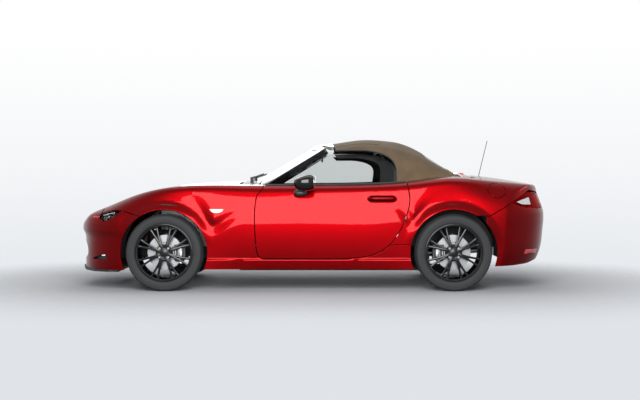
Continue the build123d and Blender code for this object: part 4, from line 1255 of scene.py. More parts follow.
# ---------------------------------------------------------------- settings
class ConvertibleSettings(bpy.types.PropertyGroup):
    """The sizes and colours that a user would change."""
    panel_grid: bpy.props.FloatProperty(
        name="Panel grid", description="Spacing of the points that a body panel is made of", default=.014,
        unit="LENGTH")
    panel_depth: bpy.props.FloatProperty(
        name="Panel depth", description="How far a body panel's walls turn in", default=.014, unit="LENGTH")
    flake_size: bpy.props.FloatProperty(
        name="Flake size", description="Width of a paint flake in millimetres, coarser than real",
        default=1.2)
    paint_light: bpy.props.FloatVectorProperty(
        name="Paint", description="The paint where it faces the light", subtype="COLOR", size=3,
        default=linear(0x7C0004)[:3])
    paint_deep: bpy.props.FloatVectorProperty(
        name="Paint depth", description="The paint where it turns away", subtype="COLOR", size=3,
        default=linear(0x4E0002)[:3])
    spoke_pairs: bpy.props.IntProperty(
        name="Spoke pairs", description="Pairs of spokes in each wheel", default=8, min=3)
    tread_blocks: bpy.props.IntProperty(
        name="Tread blocks", description="Cross grooves round each tyre", default=60, min=12)
    stitch_pitch: bpy.props.FloatProperty(
        name="Stitch pitch", description="Distance from stitch to stitch", default=.006, unit="LENGTH")
    floor_tone: bpy.props.FloatVectorProperty(
        name="Floor", description="Colour of the studio floor", subtype="COLOR", size=3,
        default=linear(0xABADB1)[:3])


def settings():
    """The scene's own settings."""
    return bpy.context.scene.convertible


# ---------------------------------------------------------------- painted panels
MOUTH = softened([(-.52, .25), (-.6, .292), (-.575, .352), (-.44, .398), (.44, .398), (.575, .352), (.6, .292),
                  (.52, .25)], .05, closed=True)
VENT = softened([(-1.786, .25), (-1.772, .262), (-1.668, .3), (-1.648, .246)], .01, closed=True)


def body_panel(view, outline, **settings_for_panel):
    """A painted panel at the usual grid."""
    return skin_panel(view, outline, depth=settings().panel_depth, spacing=settings().panel_grid,
                      **settings_for_panel)


def disc_hole(centre, radius, view, count=40):
    """A round loop on the skin, centred at an x and a z in side view."""
    middle = trace("side", centre)[0]
    normal = skin_normals(middle[None])[0]
    along = np.cross(normal, (0, 1, 0))
    along /= np.linalg.norm(along)
    other = np.cross(normal, along)
    ring = [middle + radius * (along * cos(a) + other * sin(a))
            for a in np.linspace(0, 2 * pi, count, endpoint=False)]
    return view.solid(view.flat(np.array(ring)))


class PaintedPanels(bpy.types.Operator):
    """Makes the painted outer panels, cut from the body's form along their shut lines"""
    bl_idname = "convertible.painted_panels"
    bl_label = "Painted panels"

    def execute(self, context):
        def painted(name, part, body, node):
            panel_piece(name, part, "paint", body, (node,))
        painted("bonnet_skin", body_panel(VIEWS["top"], bonnet_loop()), "bonnet", "bonnet")
        painted("boot_skin", body_panel(LID_VIEW, boot_loop()), "boot_lid", "boot_lid")
        painted("deck_skin", body_panel(VIEWS["top"], deck_loop()), "body", "deck_rear")
        wing = body_panel(WING_VIEW, wing_loop())
        painted("wing_skins", both_sides(wing), "body", "wings_front")
        sill = body_panel(VIEWS["side"], sill_loop())
        painted("sill_skins", both_sides(sill), "body", "sills")
        flap_ring = disc_hole(FLAP_CENTRE, FLAP_SIZE + .004, WING_VIEW)
        quarter = body_panel(WING_VIEW, quarter_loop())
        pierced = body_panel(WING_VIEW, quarter_loop(), holes=(flap_ring,))
        painted("quarter_skins", joined_panels(quarter, other_side(pierced)), "body", "quarters_rear")
        flap = skin_panel(WING_VIEW, disc_hole(FLAP_CENTRE, FLAP_SIZE, WING_VIEW), depth=.01, spacing=.012)
        painted("flap_skin", other_side(flap), "fuel_flap", "fuel_flap")
        mouth, vent = trace("front", *MOUTH), trace("side", *VENT)
        painted("nose_skin", body_panel(NOSE_VIEW, bumper_front_loop(), holes=(mouth, vent, mirrored(vent))),
                "body", "bumper_front")
        painted("tail_skin", body_panel(TAIL_VIEW, bumper_rear_loop()), "body", "bumper_rear")
        x, z = HANDLE_PLACE
        cup_low, cup_high = (WING_VIEW.flat(trace("side", place))[0]
                             for place in ((x + .13, z - .05), (x - .13, z + .05)))
        door = skin_panel(WING_VIEW, door_loop(), depth=DOOR_DEPTH, spacing=settings().panel_grid,
                          fine_box=(cup_low, cup_high, CUP_GRID))
        painted("door_skin_right", door, "door_right", "door_right")
        painted("door_skin_left", other_side(door), "door_left", "door_left")
        return {"FINISHED"}


def bar_loop(middle, length, height, rounding, bend=0.0):
    """A bar's outline in side view, with rounded ends."""
    x, z = middle
    half = length / 2
    corners = [(x - half, z - height / 2), (x + half, z - height / 2 + bend), (x + half, z + height / 2 + bend),
               (x - half, z + height / 2)]
    return softened(corners, rounding, closed=True)


class SideTrim(bpy.types.Operator):
    """Makes the door handles, the side repeaters and the rear reflectors"""
    bl_idname = "convertible.side_trim"
    bl_label = "Handles, repeaters and reflectors"

    def execute(self, context):
        handle_line = trace("side", *bar_loop(HANDLE_PLACE, HANDLE_LENGTH, .024, .012, .002))
        handle = skin_panel(WING_VIEW, handle_line, depth=.013, spacing=.007, edge=.0055, skin_shift=.016)
        x, z = HANDLE_PLACE
        for name, part, body in (("right", handle, "door_right"), ("left", other_side(handle), "door_left")):
            panel_piece("handle_" + name, part, "paint", body)
            posts = []
            for px in (x - .092, x + .085):
                surface = trace("side", (px, z + .001))[0] * (1, 1 if name == "right" else -1, 1)
                out = np.array((0, .03 if name == "right" else -.03, .008))
                posts.append(tube([surface - out, surface + out * .3], .008, 10))
            outward_piece("handle_posts_" + name, merged(*posts), "smooth black", body)
        repeater_line = trace("side", *softened([(-.8075, .633), (-.7717, .6227), (-.728, .633),
                                                 (-.7097, .6555), (-.8275, .657)], .008, closed=True))
        repeater = skin_panel(WING_VIEW, repeater_line, depth=.006, spacing=.007, edge=.002, skin_shift=.002)
        panel_piece("repeaters", both_sides(repeater), "frosted lens", "body")
        glow = trace("rear", *softened([(.6, .292), (.6, .328), (.735, .328), (.735, .292)], .008, closed=True))
        reflector = skin_panel(TAIL_VIEW, glow, depth=.006, spacing=.008, edge=.0015, skin_shift=.0015)
        panel_piece("rear_reflectors", both_sides(reflector), "red reflector", "body")
        return {"FINISHED"}


# ---------------------------------------------------------------- cloth roof
class ClothRoof(bpy.types.Operator):
    """Makes the cloth roof, its lining, seams, seals and rear window"""
    bl_idname = "convertible.cloth_roof"
    bl_label = "Cloth roof"

    def execute(self, context):
        front = skin_panel(ROOF_VIEW, roof_front_loop(), depth=.007, spacing=.014, edge=.0025)
        rear = skin_panel(ROOF_VIEW, roof_rear_loop(), depth=.007, spacing=.014, edge=.0025,
                          holes=(rear_glass_loop(),))
        front_cloth = panel_piece("roof_cloth_front", front, "cloth", "roof_panel",
                                  ("roof_panel",))
        rear_cloth = panel_piece("roof_cloth_rear", rear, "cloth", "roof_panel", ("soft_top",))
        lining_front = skin_panel(ROOF_VIEW, roof_front_loop(), depth=.003, spacing=.04, edge=.001,
                                  skin_shift=-.01)
        lining_rear = skin_panel(ROOF_VIEW, roof_rear_loop(), depth=.003, spacing=.04, edge=.001,
                                 skin_shift=-.01, holes=(rear_glass_loop(),))
        panel_piece("roof_lining_front", lining_front, "lining", "roof_panel")
        lining = panel_piece("roof_lining_rear", lining_rear, "lining", "roof_panel")
        glass = skin_panel(ROOF_VIEW, rear_glass_loop(.003), depth=.004, spacing=.02, edge=.001,
                           skin_shift=-.001)
        panel_piece("rear_glass", glass, "rear glass", "rear_window", ("rear_window",))
        cap = skin_panel(ROOF_VIEW, header_cap_loop(), depth=.007, spacing=.02, edge=.003, skin_shift=.003)
        panel_piece("header_cap", cap, "gloss black", "body")
        corner = blob(trace("roof_side", (1.166, .909))[0], (.043, .014, .015), 3.0, 20, 28)
        outward_piece("roof_corners", doubled(corner), "gloss black", "body",
                      angle=60)
        band = skin_panel(ROOF_VIEW, window_band_loop(), depth=.01, spacing=.02, edge=.002, skin_shift=-.036)
        frames = panel_piece("window_frames", both_sides(band), "cabin", "roof_panel")
        rim = trace("roof_side", *[(.178, WINDOW_TOP_Z)] + WINDOW_EDGE[1:])
        rim = rim - skin_normals(rim, roof_field) * .004
        seal = tube(rim, .0065, 8)
        seals = outward_piece("roof_seals", doubled(seal), "rubber", "roof_panel")
        self.seams()
        # what lies on the folding part gets a mesh of its own
        for soft in (rear_cloth, lining, frames, seals):
            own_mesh(soft)
        return {"FINISHED"}

    @staticmethod
    def seams():
        """The doubled cloth over each seam of the front panel, and its stitches."""
        sewn = stitch_tree()
        for k, y in enumerate((-.405, .405)):
            line = trace("roof_top", *[(x, y) for x in (.185, .37, .545)])
            up = skin_normals(line, roof_field)
            rings = [np.array([p + n * lift + np.array((0, side, 0)) for side, lift in
                               ((-.009, -.001), (-.009, .0012), (.009, .0012), (.009, -.001))])
                     for p, n in zip(line, up)]
            outward_piece("roof_seam_%d" % k, ring_shell(rings), "cloth", "roof_panel")
            for row, side in enumerate((-.006, .006)):
                points = line + up * .0016 + np.array((0, side, 0))
                edges = [(i, i + 1) for i in range(len(points) - 1)]
                stitches = grown("roof_stitches_%d_%d" % (k, row), points, [], sewn, {
                    "Pitch": settings().stitch_pitch, "Stitch": settings().stitch_pitch * .6, "Thread": .0008,
                    "Material": finish("thread")}, edges)
                finish_piece(stitches, None, "roof_panel")


# ---------------------------------------------------------------- windscreen
PILLAR_FOOT_Y, PILLAR_DEPTH = .673, .055


def header_z(y):
    """The height of the windscreen header's upper edge."""
    return 1.186 - .059 * (y / .69) ** 2


class Windscreen(bpy.types.Operator):
    """Makes the windscreen's painted frame and its glass"""
    bl_idname = "convertible.windscreen"
    bl_label = "Windscreen"

    def execute(self, context):
        side_run = [(PILLAR_FOOT_Y - SCREEN_TAPER * (z - SCREEN_LOW_Z) / SCREEN_RISE, z)
                    for z in (.836, .95, 1.05, 1.128)]
        header = [(y, header_z(y)) for y in (.505, .42, .3, .15, 0)]
        outer = trace("screen_front", *softened(side_run + header, .02))
        inner = trace("screen_front", *softened([(.588, .836), (.434, 1.134), (0, 1.142)], .04))
        loop = loop_of(SCREEN_VIEW, outer, mirrored(outer)[::-1], mirrored(inner), inner[::-1])
        surround = skin_panel(SCREEN_VIEW, loop, depth=PILLAR_DEPTH, spacing=.02, edge=.008)
        panel_piece("screen_frame", surround, "gloss black", "body", ("windscreen_frame",))
        refinish(("windscreen",), "screen")
        refinish(("door_glass_right", "door_glass_left"), "side glass")
        return {"FINISHED"}


# ---------------------------------------------------------------- wheels
TYRE_HALF = [
    (.089, .217), (.089, .229), (.0935, .2325), (.0965, .236), (.0985, .2385), (.0985, .241), (.0995, .243),
    (.101, .25), (.1018, .254), (.1024, .258), (.1018, .26), (.1024, .262), (.102, .27), (.1005, .28),
    (.0985, .287), (.0988, .289), (.0955, .2935), (.09, .2985), (.083, .3025), (.074, .305), (.066, .306),
    (.0655, .299), (.06, .299), (.0595, .3067), (.045, .3074), (.03, .3078), (.0255, .3079), (.025, .3005),
    (.018, .3005), (.0175, .3079), (.008, .3079)]
BARREL = [
    (-.094, .228), (-.0885, .228), (-.088, .2168), (.0885, .2168), (.089, .2265), (.093, .229), (.096, .2285),
    (.0965, .2255), (.094, .2225), (.088, .219), (.082, .211), (.07, .2075), (-.084, .205), (-.094, .214)]
SPOKE = [
    (.036, .0808, .0109, .033), (.05, .0825, .0108, .03), (.075, .082, .0096, .027),
    (.11, .0795, .0086, .024), (.15, .076, .008, .022), (.185, .073, .0082, .022), (.205, .072, .01, .024),
    (.216, .072, .013, .026)]
HUB = [(.04, .005), (.04, .07), (.056, .07), (.072, .066), (.077, .06), (.08, .054), (.079, .042),
       (.08, .031), (.0812, .005)]
CAP = [(.079, .0005), (.079, .027), (.0835, .027), (.085, .0255), (.0862, .018), (.0867, .0005)]
LUG = [(0, .0002), (0, .0105), (.009, .0105), (.01, .0095), (.01, .007), (.0075, .0055), (.0075, .0002)]


SPOKE_LEAN, SPOKE_SPREAD = 24, 7.5  # degrees: the first pair's direction, and how far its tips stand from it
SPOKE_ROOT, SPOKE_RUN = .03, .186  # the radius where a pair starts to spread, and the length over which it does
LUG_COUNT, LUG_OFFSET, LUG_FACE_Y = 4, .0355, .079
ROTOR = [
    (-.008, .078), (-.008, .14), (-.007, .141), (.013, .141), (.014, .14), (.014, .08), (.039, .076),
    (.048, .074), (.049, .032), (.043, .032), (.042, .066), (.01, .07), (.006, .078)]


def spoke_pair():
    """Two spokes that spread from the hub to the barrel, about the direction of the first pair."""
    shapes = []
    for spread in (-SPOKE_SPREAD, SPOKE_SPREAD):
        rings = []
        for radius, top, half_width, depth in SPOKE:
            share = (radius - SPOKE_ROOT) / SPOKE_RUN
            angle = radians(SPOKE_LEAN + spread * (.25 + .75 * share))
            out, across = np.array((cos(angle), 0, sin(angle))), np.array((-sin(angle), 0, cos(angle)))
            corners = [(-1, -depth), (-1, -.004), (-.82, -.0012), (-.5, 0), (.5, 0), (.82, -.0012), (1, -.004),
                       (1, -depth), (.7, -depth - .002), (-.7, -depth - .002)]
            rings.append(np.array([out * radius + across * (w * half_width) + np.array((0, top + d, 0))
                                   for w, d in corners]))
        shapes.append(ring_shell(rings))
    return merged(*shapes)


class Wheels(bpy.types.Operator):
    """Makes the tyres, the spoked rims with their bolts and caps, and the brake discs"""
    bl_idname = "convertible.wheels"
    bl_label = "Wheels"

    def execute(self, context):
        tyre_profile = TYRE_HALF + [(-y, r) for y, r in TYRE_HALF[::-1]]
        blocks = settings().tread_blocks
        shoulder = np.array([.0045 if abs(y) > .066 and r > .2995 else 0 for y, r in tyre_profile])
        repeat = repeat_tree()
        for end, axle_x in AXLES.items():
            for side, side_name in ((1, "right"), (-1, "left")):
                corner = end + "_" + side_name
                centre = (axle_x, side * WHEEL_Y[end], HUB_Z)
                body = "wheel_" + corner
                tyre = turned_shell(tyre_profile, blocks * 4, centre, side,
                                    lambda k: shoulder if k % 4 == 0 else 0 * shoulder)
                outward_piece("tread_" + corner, tyre, "tyre", body, ("tyre_" + corner,), 28)
                rim_shapes = merged(turned_shell(BARREL, 96, centre, side), turned_shell(HUB, 64, centre, side),
                                    turned_shell(CAP, 48, centre, side))
                outward_piece("barrel_" + corner, rim_shapes, "alloy", body, ("rim_" + corner,),
                              30)
                points, faces = spoke_pair()
                points = points * np.array((1, side, 1))
                spokes = grown("spokes_" + corner, points, faces, repeat, {
                    "Count": settings().spoke_pairs, "Centre": centre, "Step": (0, 0, 0),
                    "Turn": (0, 2 * pi / settings().spoke_pairs, 0), "Material": finish("alloy")})
                turn_outward(spokes)
                finish_piece(spokes, None, body)
                bolt = turned_shell(LUG, 6, (LUG_OFFSET, side * LUG_FACE_Y, LUG_OFFSET), side)
                bolts = grown("bolts_" + corner, bolt[0], bolt[1], repeat, {
                    "Count": LUG_COUNT, "Centre": centre, "Step": (0, 0, 0), "Turn": (0, 2 * pi / LUG_COUNT, 0),
                    "Material": finish("chrome")})
                turn_outward(bolts)
                finish_piece(bolts, None, body)
                outward_piece("rotor_" + corner, turned_shell(ROTOR, 96, centre, side), "disc", body,
                              ("disc_" + corner,), 30)
        return {"FINISHED"}


class Mirrors(bpy.types.Operator):
    """Makes the door mirrors: shell, glass and foot"""
    bl_idname = "convertible.mirrors"
    bl_label = "Door mirrors"

    def execute(self, context):
        def pulled_in(points):
            x = points[:, 0]
            back = np.minimum(x, .8)
            taper = 1 - .1 * rising(points[:, 1], -.2, 1.0)
            slope = 1 - .38 * rising(-x, -.5, 1.0) * (points[:, 2] > 0)
            return np.stack((back, points[:, 1], points[:, 2] * taper * slope + .05 * points[:, 1]), axis=1)
        shell = blob((-.062, .925, .868), (.088, .079, .066), 2.6, 30, 48, pulled_in)
        inner = blob((.0085, .924, .869), (.0035, .066, .052), 2.8, 12, 40)
        foot = blob((-.1, .832, .786), (.055, .046, .03), 2.4, 20, 32)
        for side in ("right", "left"):
            body = "door_" + side
            parts = [shape if side == "right" else reflected(shape) for shape in (shell, inner, foot)]
            outward_piece("mirror_shell_" + side, parts[0], "gloss black", body,
                          ("mirror_" + side,), 50)
            outward_piece("mirror_glass_" + side, parts[1], "mirror", body)
            outward_piece("mirror_foot_" + side, parts[2], "satin black", body)
        return {"FINISHED"}


# ---------------------------------------------------------------- lamps and front trim
class Headlamps(bpy.types.Operator):
    """Makes the headlamps: clear covers over dark housings with lenses and light guides"""
    bl_idname = "convertible.headlamps"
    bl_label = "Headlamps"

    def execute(self, context):
        cover = skin_panel(WING_VIEW, headlamp_loop(), depth=.003, spacing=.01, edge=.0012)
        housing = skin_panel(WING_VIEW, headlamp_loop(), depth=.05, spacing=.01, edge=.001, skin_shift=-.03)
        lenses, silver = [], []
        for x, z, size in ((-1.655, .598, .019), (-1.602, .617, .015)):
            middle = trace("side", (x, z))[0]
            out = skin_normals(middle[None])[0]
            facing = out * .45 + np.array((-.9, 0, 0))
            facing /= np.linalg.norm(facing)
            centre = middle - out * .022
            lenses.append(tube([centre, centre + facing * .006, centre + facing * .011],
                               (size, size * .8, .003), 24))
            silver.append(tube([centre - facing * .012, centre + facing * .004], (size * .9, size * 1.25), 24))
        guide_line = trace("side", *[(x, z - .01) for x, z in LAMP_TOP[1:-1]])
        guide = guide_line - skin_normals(guide_line) * .018
        panel_piece("lamp_covers", both_sides(cover), "clear lens", "body",
                    ("headlamps",))
        panel_piece("lamp_housings", both_sides(housing), "smooth black", "body")
        for name, shapes, finish_name in (("lamp_lenses", lenses, "clear lens"),
                                          ("lamp_bowls", silver, "lamp silver"),
                                          ("lamp_guides", [tube(guide, .0032, 8)], "lamp white")):
            both = [shape for one in shapes for shape in (one, reflected(one))]
            outward_piece(name, merged(*both), finish_name, "body", angle=60)
        return {"FINISHED"}


class TailLamps(bpy.types.Operator):
    """Makes the tail lamps, with a clear middle in a red lens, and the high brake lamp"""
    bl_idname = "convertible.tail_lamps"
    bl_label = "Tail lamps"

    def execute(self, context):
        clear_line = trace("side", *softened([(1.628, .713), (1.68, .692), (1.76, .69), (1.744, .75)], .01,
                                             closed=True))
        lens = skin_panel(TAIL_VIEW, tail_lamp_loop(), depth=.01, spacing=.01, edge=.002, holes=(clear_line,))
        clear = skin_panel(TAIL_VIEW, clear_line, depth=.01, spacing=.008, edge=.0005)
        housing = skin_panel(TAIL_VIEW, tail_lamp_loop(), depth=.035, spacing=.02, edge=.001, skin_shift=-.016)
        panel_piece("tail_lenses", both_sides(lens), "red lens", "body",
                    ("tail_lamps",))
        panel_piece("tail_windows", both_sides(clear), "frosted lens", "body")
        panel_piece("tail_housings", both_sides(housing), "red reflector", "body")
        high = trace("top", *softened([(1.232, -.17), (1.286, -.17), (1.286, .17), (1.232, .17)], .012,
                                      closed=True))
        lamp = skin_panel(VIEWS["top"], high, depth=.012, spacing=.012, edge=.006, skin_shift=.01)
        panel_piece("brake_lamp", lamp, "red reflector", "body")
        return {"FINISHED"}


class FrontTrim(bpy.types.Operator):
    """Makes the scuttle panel, the grille in the mouth and the lower vents"""
    bl_idname = "convertible.front_trim"
    bl_label = "Front trim"

    def execute(self, context):
        scuttle = skin_panel(VIEWS["top"], scuttle_loop(), depth=.012, spacing=.02, edge=.003, skin_shift=-.002)
        panel_piece("scuttle_panel", scuttle, "satin black", "body", ("scuttle",))
        mouth = trace("front", *MOUTH)
        shroud = skin_panel(NOSE_VIEW, mouth, depth=.05, spacing=.04, edge=.001, skin_shift=-.055)
        panel_piece("mouth_shroud", shroud, "satin black", "body", ("grille",))
        vent = trace("side", *VENT)
        floor = skin_panel(NOSE_VIEW, vent, depth=.02, spacing=.02, edge=.001, skin_shift=-.024)
        panel_piece("vent_floors", both_sides(floor), "satin black", "body")
        light = trace("side", (-1.7, .282), (-1.672, .285))
        light = tube(light - skin_normals(light) * .01, .0055, 10)
        outward_piece("vent_lamps", doubled(light), "lamp white", "body")
        repeat = repeat_tree()
        slat = []
        for y in np.linspace(-.575, .575, 47):
            x = NOSE_X(np.array(.33)) + NOSE_PLAN(np.array(abs(y))) + .03
            slat.append((float(x), y))
        rings = [np.array([(x + dx, y, dz) for dx,
                           dz in ((-.006, 0), (0, .003), (.012, .002), (.012, -.002), (0, -.003))])
                 for x, y in slat]
        points, faces = ring_shell(rings)
        bars = grown("grille_bars", points, faces, repeat, {
            "Count": 7, "Centre": (0, 0, .268), "Step": (0, 0, .019), "Turn": (0, 0, 0),
            "Material": finish("satin black")})
        turn_outward(bars)
        finish_piece(bars, None, "body")
        return {"FINISHED"}


# ---------------------------------------------------------------- cabin
SEAT_Y = .355  # the seats' middles
SEAT_LEAN = .236  # how far the back leans for each metre of height
SEAT_HINGE_Z = .6


def channels(places, width, along):
    """How deep sewn channels lie at places along a pad, as a share of their full depth."""
    return sum(np.exp(-((along - place) / width) ** 2) for place in places)


def crowned_seat(points):
    """A seat pad's crown and its channels across."""
    x, z = points[:, 0], points[:, 2]
    crown = .16 * (1 - x ** 2) * (1 - points[:, 1] ** 2) * (z > 0)
    points[:, 2] = z * (1 - .1 * channels((-.66, -.33, 0, .33, .66), .035, x)) + crown
    return points


def crowned_back(points):
    """A back pad's crown towards the front and its channels across."""
    x, z = points[:, 0], points[:, 2]
    crown = .22 * (1 - z ** 2) * (1 - points[:, 1] ** 2) * (x < 0)
    points[:, 0] = x * (1 - .12 * channels((-.7, -.42, -.14, .14, .42, .7), .03, z)) - crown
    return points


def leaned(shape):
    """A shape leaned back with the seat's back."""
    points, faces = shape
    points[:, 0] += SEAT_LEAN * (points[:, 2] - SEAT_HINGE_Z)
    return points, faces


class Seats(bpy.types.Operator):
    """Makes the two seats: crowned pads, side bolsters, head restraints, shells and rails"""
    bl_idname = "convertible.seats"
    bl_label = "Seats"

    def execute(self, context):
        for side, y in (("right", SEAT_Y), ("left", -SEAT_Y)):
            pads = [blob((.372, y, .322), (.212, .15, .04), 3.2, 32, 64, crowned_seat),
                    leaned(blob((.628, y, .59), (.04, .145, .25), 3.2, 64, 48, crowned_back)),
                    leaned(blob((.64, y, .905), (.036, .122, .062), 2.9, 24, 40))]
            for way in (-1, 1):
                pads.append(blob((.372, y + way * .18, .335), (.222, .044, .055), 2.6, 24, 40))
                pads.append(leaned(blob((.612, y + way * .165, .58), (.052, .036, .235), 2.6, 32, 32)))
            pad = outward_piece("seat_pads_" + side, merged(*pads), "leather", "body",
                                ("seats",) if side == "right" else (), 60)
            shell = [leaned(blob((.664, y, .6), (.026, .19, .29), 3.0, 30, 40)),
                     blob((.382, y, .28), (.225, .2, .026), 4.0, 16, 40)]
            for way in (-.17, .17):
                shell.append(tube([(.25, y + way, .2), (.6, y + way, .2)], .011, 8))
                for x in (.28, .57):
                    shell.append(tube([(x, y + way, .172), (x, y + way, .27)], .009, 8))
            outward_piece("seat_shells_" + side, merged(*shell), "cabin", "body", angle=60)
        return {"FINISHED"}


class CabinTrim(bpy.types.Operator):
    """Makes the door trims with their pulls, the belt strips and the mirror in the header"""
    bl_idname = "convertible.cabin_trim"
    bl_label = "Cabin trim"

    def execute(self, context):
        belt = trace("top", (-.385, BELT_Y - .001), (-.1, BELT_Y - .001), (.3, BELT_Y - .001),
                     (.748, BELT_Y - .001))
        strip = tube(belt + np.array((0, .004, .003)), .0075, 8)
        trim = skin_panel(WING_VIEW, loop_of(WING_VIEW, trace("side", *shifted(DOOR_SIDE, .026)[3:-2])),
                          depth=.012, spacing=.03, edge=.004, skin_shift=-.068)
        pull = tube([(-.1, .742, .56), (-.06, .722, .6), (.2, .722, .615), (.26, .742, .58)], .012, 10)
        for side in ("right", "left"):
            body = "door_" + side
            right = side == "right"
            outward_piece("belt_strip_" + side, strip if right else reflected(strip), "rubber", body)
            panel_piece("door_trim_" + side, trim if right else other_side(trim), "cabin", body)
            outward_piece("door_pull_" + side, pull if right else reflected(pull), "satin black", body)
        stem = tube([(.09, 0, 1.15), (.08, 0, 1.105), (.075, 0, 1.08)], .006, 8)
        head = blob((.075, 0, 1.068), (.01, .105, .03), 3.2, 16, 40)
        outward_piece("cabin_mirror", merged(stem, head), "smooth black", "body")
        return {"FINISHED"}


CALIPER_REACH = .122  # from the axle to the middle of the caliper
CALIPER_DROP = .12  # radians below the axle's level


class Calipers(bpy.types.Operator):
    """Makes the brake calipers over the discs"""
    bl_idname = "convertible.calipers"
    bl_label = "Brake calipers"

    def execute(self, context):
        for end, way in (("front", 1), ("rear", -1)):
            for side, side_name in ((1, "right"), (-1, "left")):
                hub_x, hub_y = AXLES[end], side * WHEEL_Y[end]
                shapes = []
                for angle in np.linspace(-.34, .34, 9) - CALIPER_DROP:
                    place = (hub_x + way * CALIPER_REACH * cos(angle), hub_y + side * .018,
                             HUB_Z + CALIPER_REACH * sin(angle))
                    shapes.append(blob(place, (.03, .029, .02), 3.4, 12, 20))
                shapes.append(blob((hub_x + way * .128, hub_y + side * .022, HUB_Z - .016), (.022, .028, .034),
                                   3, 12, 20))
                body = "upright_front_" + side_name if end == "front" else "body"
                outward_piece("caliper_%s_%s" % (end, side_name), merged(*shapes), "caliper", body)
        return {"FINISHED"}


class WheelHouses(bpy.types.Operator):
    """Makes the inner walls of the rear wheel houses"""
    bl_idname = "convertible.wheel_houses"
    bl_label = "Rear wheel houses"

    def execute(self, context):
        rings = []
        for a in np.radians(np.linspace(8, 172, 42)):
            rings.append(np.array([(REAR_AXLE_X + r * cos(a), y, HUB_Z + r * sin(a))
                                   for y, r in ((.585, .15), (.593, .15), (.593, .352), (.585, .352))]))
        wall = ring_shell(rings)
        outward_piece("wheelhouse_walls", doubled(wall), "underseal", "body")
        return {"FINISHED"}


# ---------------------------------------------------------------- finishes of pieces that keep their shape
class CarriedFinishes(bpy.types.Operator):
    """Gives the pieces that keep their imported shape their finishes"""
    bl_idname = "convertible.carried_finishes"
    bl_label = "Finishes of carried pieces"

    def execute(self, context):
        refinish(("floor_pan", "wheel_liners"), "underseal")
        refinish(("suspension", "uprights_rear", "upright_front_right", "upright_front_left"), "axle")
        refinish(("engine",), "caliper")
        refinish(("door_hinges", "roof_link"), "zinc")
        refinish(("exhaust",), "exhaust")
        refinish(("dashboard", "lip_front", "wipers", "antenna"), "cabin")
        refinish(("steering_wheel",), "leather")
        refinish(("roll_hoops",), "satin black")
        return {"FINISHED"}


# ---------------------------------------------------------------- stage
FLOOR_SIZE = 9.0
FLOOR_SECOND_TONE = 0xA6A9AD  # lies in soft clouds over the floor's own colour
FADE_START, FADE_END = 1.3, 3.3  # where the floor starts to thin out, and where it is gone
LAMPS = (  # name, place, tilt about x and turn about z in degrees, width, depth, watts
    ("overhead", (.1, 0, 4.4), (0, 0), 4.6, 2.2, 60),
    ("left", (-.2, -6.6, 2.35), (75, 0), 3.7, 3.8, 760),
    ("right", (-.2, 6.6, 2.35), (-75, 0), 3.7, 3.8, 170),
    ("ahead", (-7.0, 0, 3.2), (68, -90), 3.0, 1.0, 60),
    ("behind", (7.0, 0, 3.2), (68, 90), 3.0, 1.0, 60),
)
CAMERA_PLACE, CAMERA_LENS, CAMERA_SHIFT = (.056, -9.65, .906), 62.3, -.0348
BACKDROP_FILL = .1  # how strongly the backdrop lights dull surfaces


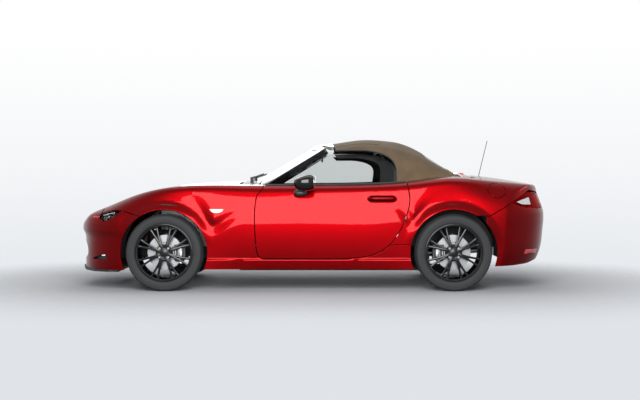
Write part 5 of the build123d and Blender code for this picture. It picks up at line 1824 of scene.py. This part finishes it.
class Studio(bpy.types.Operator):
    """Makes the floor, the lamps, the backdrop's light and the camera"""
    bl_idname = "convertible.studio"
    bl_label = "Studio"

    def execute(self, context):
        scene = bpy.context.scene
        scene.view_settings.view_transform = "Standard"
        ring = np.linspace(0, 2 * pi, 96, endpoint=False)
        points = [(FLOOR_SIZE * cos(a), FLOOR_SIZE * sin(a), 0) for a in ring]
        mesh = bpy.data.meshes.new("floor")
        mesh.from_pydata(points, [], [list(range(96))])
        floor = bpy.data.objects.new("floor", mesh)
        scene.collection.objects.link(floor)
        material, tree, shader = blank_material("seamless vinyl floor")
        place = add_node(tree, "ShaderNodeTexCoord").outputs["Object"]
        noise = add_node(tree, "ShaderNodeTexNoise", {"Vector": place, "Scale": .6})
        tone = add_node(tree, "ShaderNodeMix", {0: noise.outputs["Fac"], 6: (*settings().floor_tone, 1),
                                                7: linear(FLOOR_SECOND_TONE)}, data_type="RGBA")
        tree.links.new(tone.outputs[2], shader.inputs["Base Color"])
        set_inputs(shader, Roughness=.8, Specular_IOR_Level=.2)
        # the floor thins out away from the car, so that it runs into the backdrop with no edge
        stretched = add_node(tree, "ShaderNodeVectorMath", {0: place, 1: (.8, 1, 1)},
                             operation="MULTIPLY").outputs[0]
        away = add_node(tree, "ShaderNodeVectorMath", {0: stretched}, operation="LENGTH").outputs["Value"]
        gone = add_node(tree, "ShaderNodeMapRange",
                        {"Value": away, "From Min": FADE_START, "From Max": FADE_END},
                        interpolation_type="SMOOTHSTEP").outputs["Result"]
        clear = add_node(tree, "ShaderNodeBsdfTransparent").outputs[0]
        both = add_node(tree, "ShaderNodeMixShader", {0: gone, 1: shader.outputs[0], 2: clear}).outputs[0]
        tree.links.new(both, tree.nodes["Material Output"].inputs["Surface"])
        mesh.materials.append(material)
        self.sky(scene)
        for lamp in LAMPS:
            self.lamp(*lamp)
        lens = bpy.data.cameras.new("camera")
        lens.lens, lens.sensor_width, lens.shift_y = CAMERA_LENS, 36, CAMERA_SHIFT
        camera = bpy.data.objects.new("camera", lens)
        camera.location, camera.rotation_euler = CAMERA_PLACE, (radians(90), 0, 0)
        scene.collection.objects.link(camera)
        scene.camera = camera
        return {"FINISHED"}

    @staticmethod
    def lamp(name, place, turns, width, depth, watts):
        tilt, turn = turns
        light = bpy.data.lights.new(name, "AREA")
        light.shape, light.size, light.size_y, light.energy = "RECTANGLE", width, depth, watts
        holder = bpy.data.objects.new(name, light)
        holder.location, holder.rotation_euler = place, (radians(tilt), 0, radians(turn))
        holder.visible_camera = holder.visible_transmission = False
        bpy.context.scene.collection.objects.link(holder)

    @staticmethod
    def sky(scene):
        world = bpy.data.worlds.new("studio")
        scene.world = world
        world.use_nodes = True
        tree = world.node_tree
        tree.nodes.clear()
        rays = add_node(tree, "ShaderNodeLightPath").outputs
        seen = maths(tree, "MAXIMUM", rays["Is Camera Ray"], rays["Is Glossy Ray"])
        seen = maths(tree, "MAXIMUM", seen, rays["Is Transmission Ray"])
        direction = add_node(tree, "ShaderNodeTexCoord").outputs["Generated"]
        height = add_node(tree, "ShaderNodeSeparateXYZ", {"Vector": direction}).outputs["Z"]
        rise = add_node(tree, "ShaderNodeMapRange",
                        {"Value": height, "From Min": -.12, "From Max": .12}).outputs[0]
        shade = ramp(tree, rise, 0xE0E4E9, 0xFFFFFF)
        middle = shade.node.color_ramp.elements.new(.5)
        middle.color = linear(0xF3F5F7)
        bright = add_node(tree, "ShaderNodeBackground", {"Color": shade, "Strength": 1.0}).outputs[0]
        fill = add_node(tree, "ShaderNodeBackground",
                        {"Color": linear(0xE8E9EC), "Strength": BACKDROP_FILL}).outputs[0]
        both = add_node(tree, "ShaderNodeMixShader", {0: seen, 1: fill, 2: bright}).outputs[0]
        add_node(tree, "ShaderNodeOutputWorld", {"Surface": both})


PIECE_MAKERS = (
    PaintedPanels, SideTrim, ClothRoof, Windscreen, Wheels, Calipers, Mirrors, Headlamps, TailLamps,
    FrontTrim, Seats, CabinTrim, WheelHouses, CarriedFinishes)


class ConvertiblePanel(bpy.types.Panel):
    """The sidebar's list of makers and settings"""
    bl_idname = "VIEW3D_PT_convertible"
    bl_label = "Convertible car"
    bl_space_type = "VIEW_3D"
    bl_region_type = "UI"
    bl_category = "Convertible"

    def draw(self, context):
        for name in ConvertibleSettings.__annotations__:
            self.layout.prop(context.scene.convertible, name)
        for maker in PIECE_MAKERS + (Studio,):
            self.layout.operator(maker.bl_idname)


CLASSES = (ConvertibleSettings, *PIECE_MAKERS, Studio, ConvertiblePanel)


def register():
    for one in CLASSES:
        bpy.utils.register_class(one)
    bpy.types.Scene.convertible = bpy.props.PointerProperty(type=ConvertibleSettings)


def unregister():
    del bpy.types.Scene.convertible
    for one in reversed(CLASSES):
        bpy.utils.unregister_class(one)


def main():
    """Makes the stage and every piece."""
    register()
    bpy.ops.convertible.studio()
    for maker in PIECE_MAKERS:
        group, name = maker.bl_idname.split(".")
        getattr(getattr(bpy.ops, group), name)()


if __name__ == "__main__":
    main()
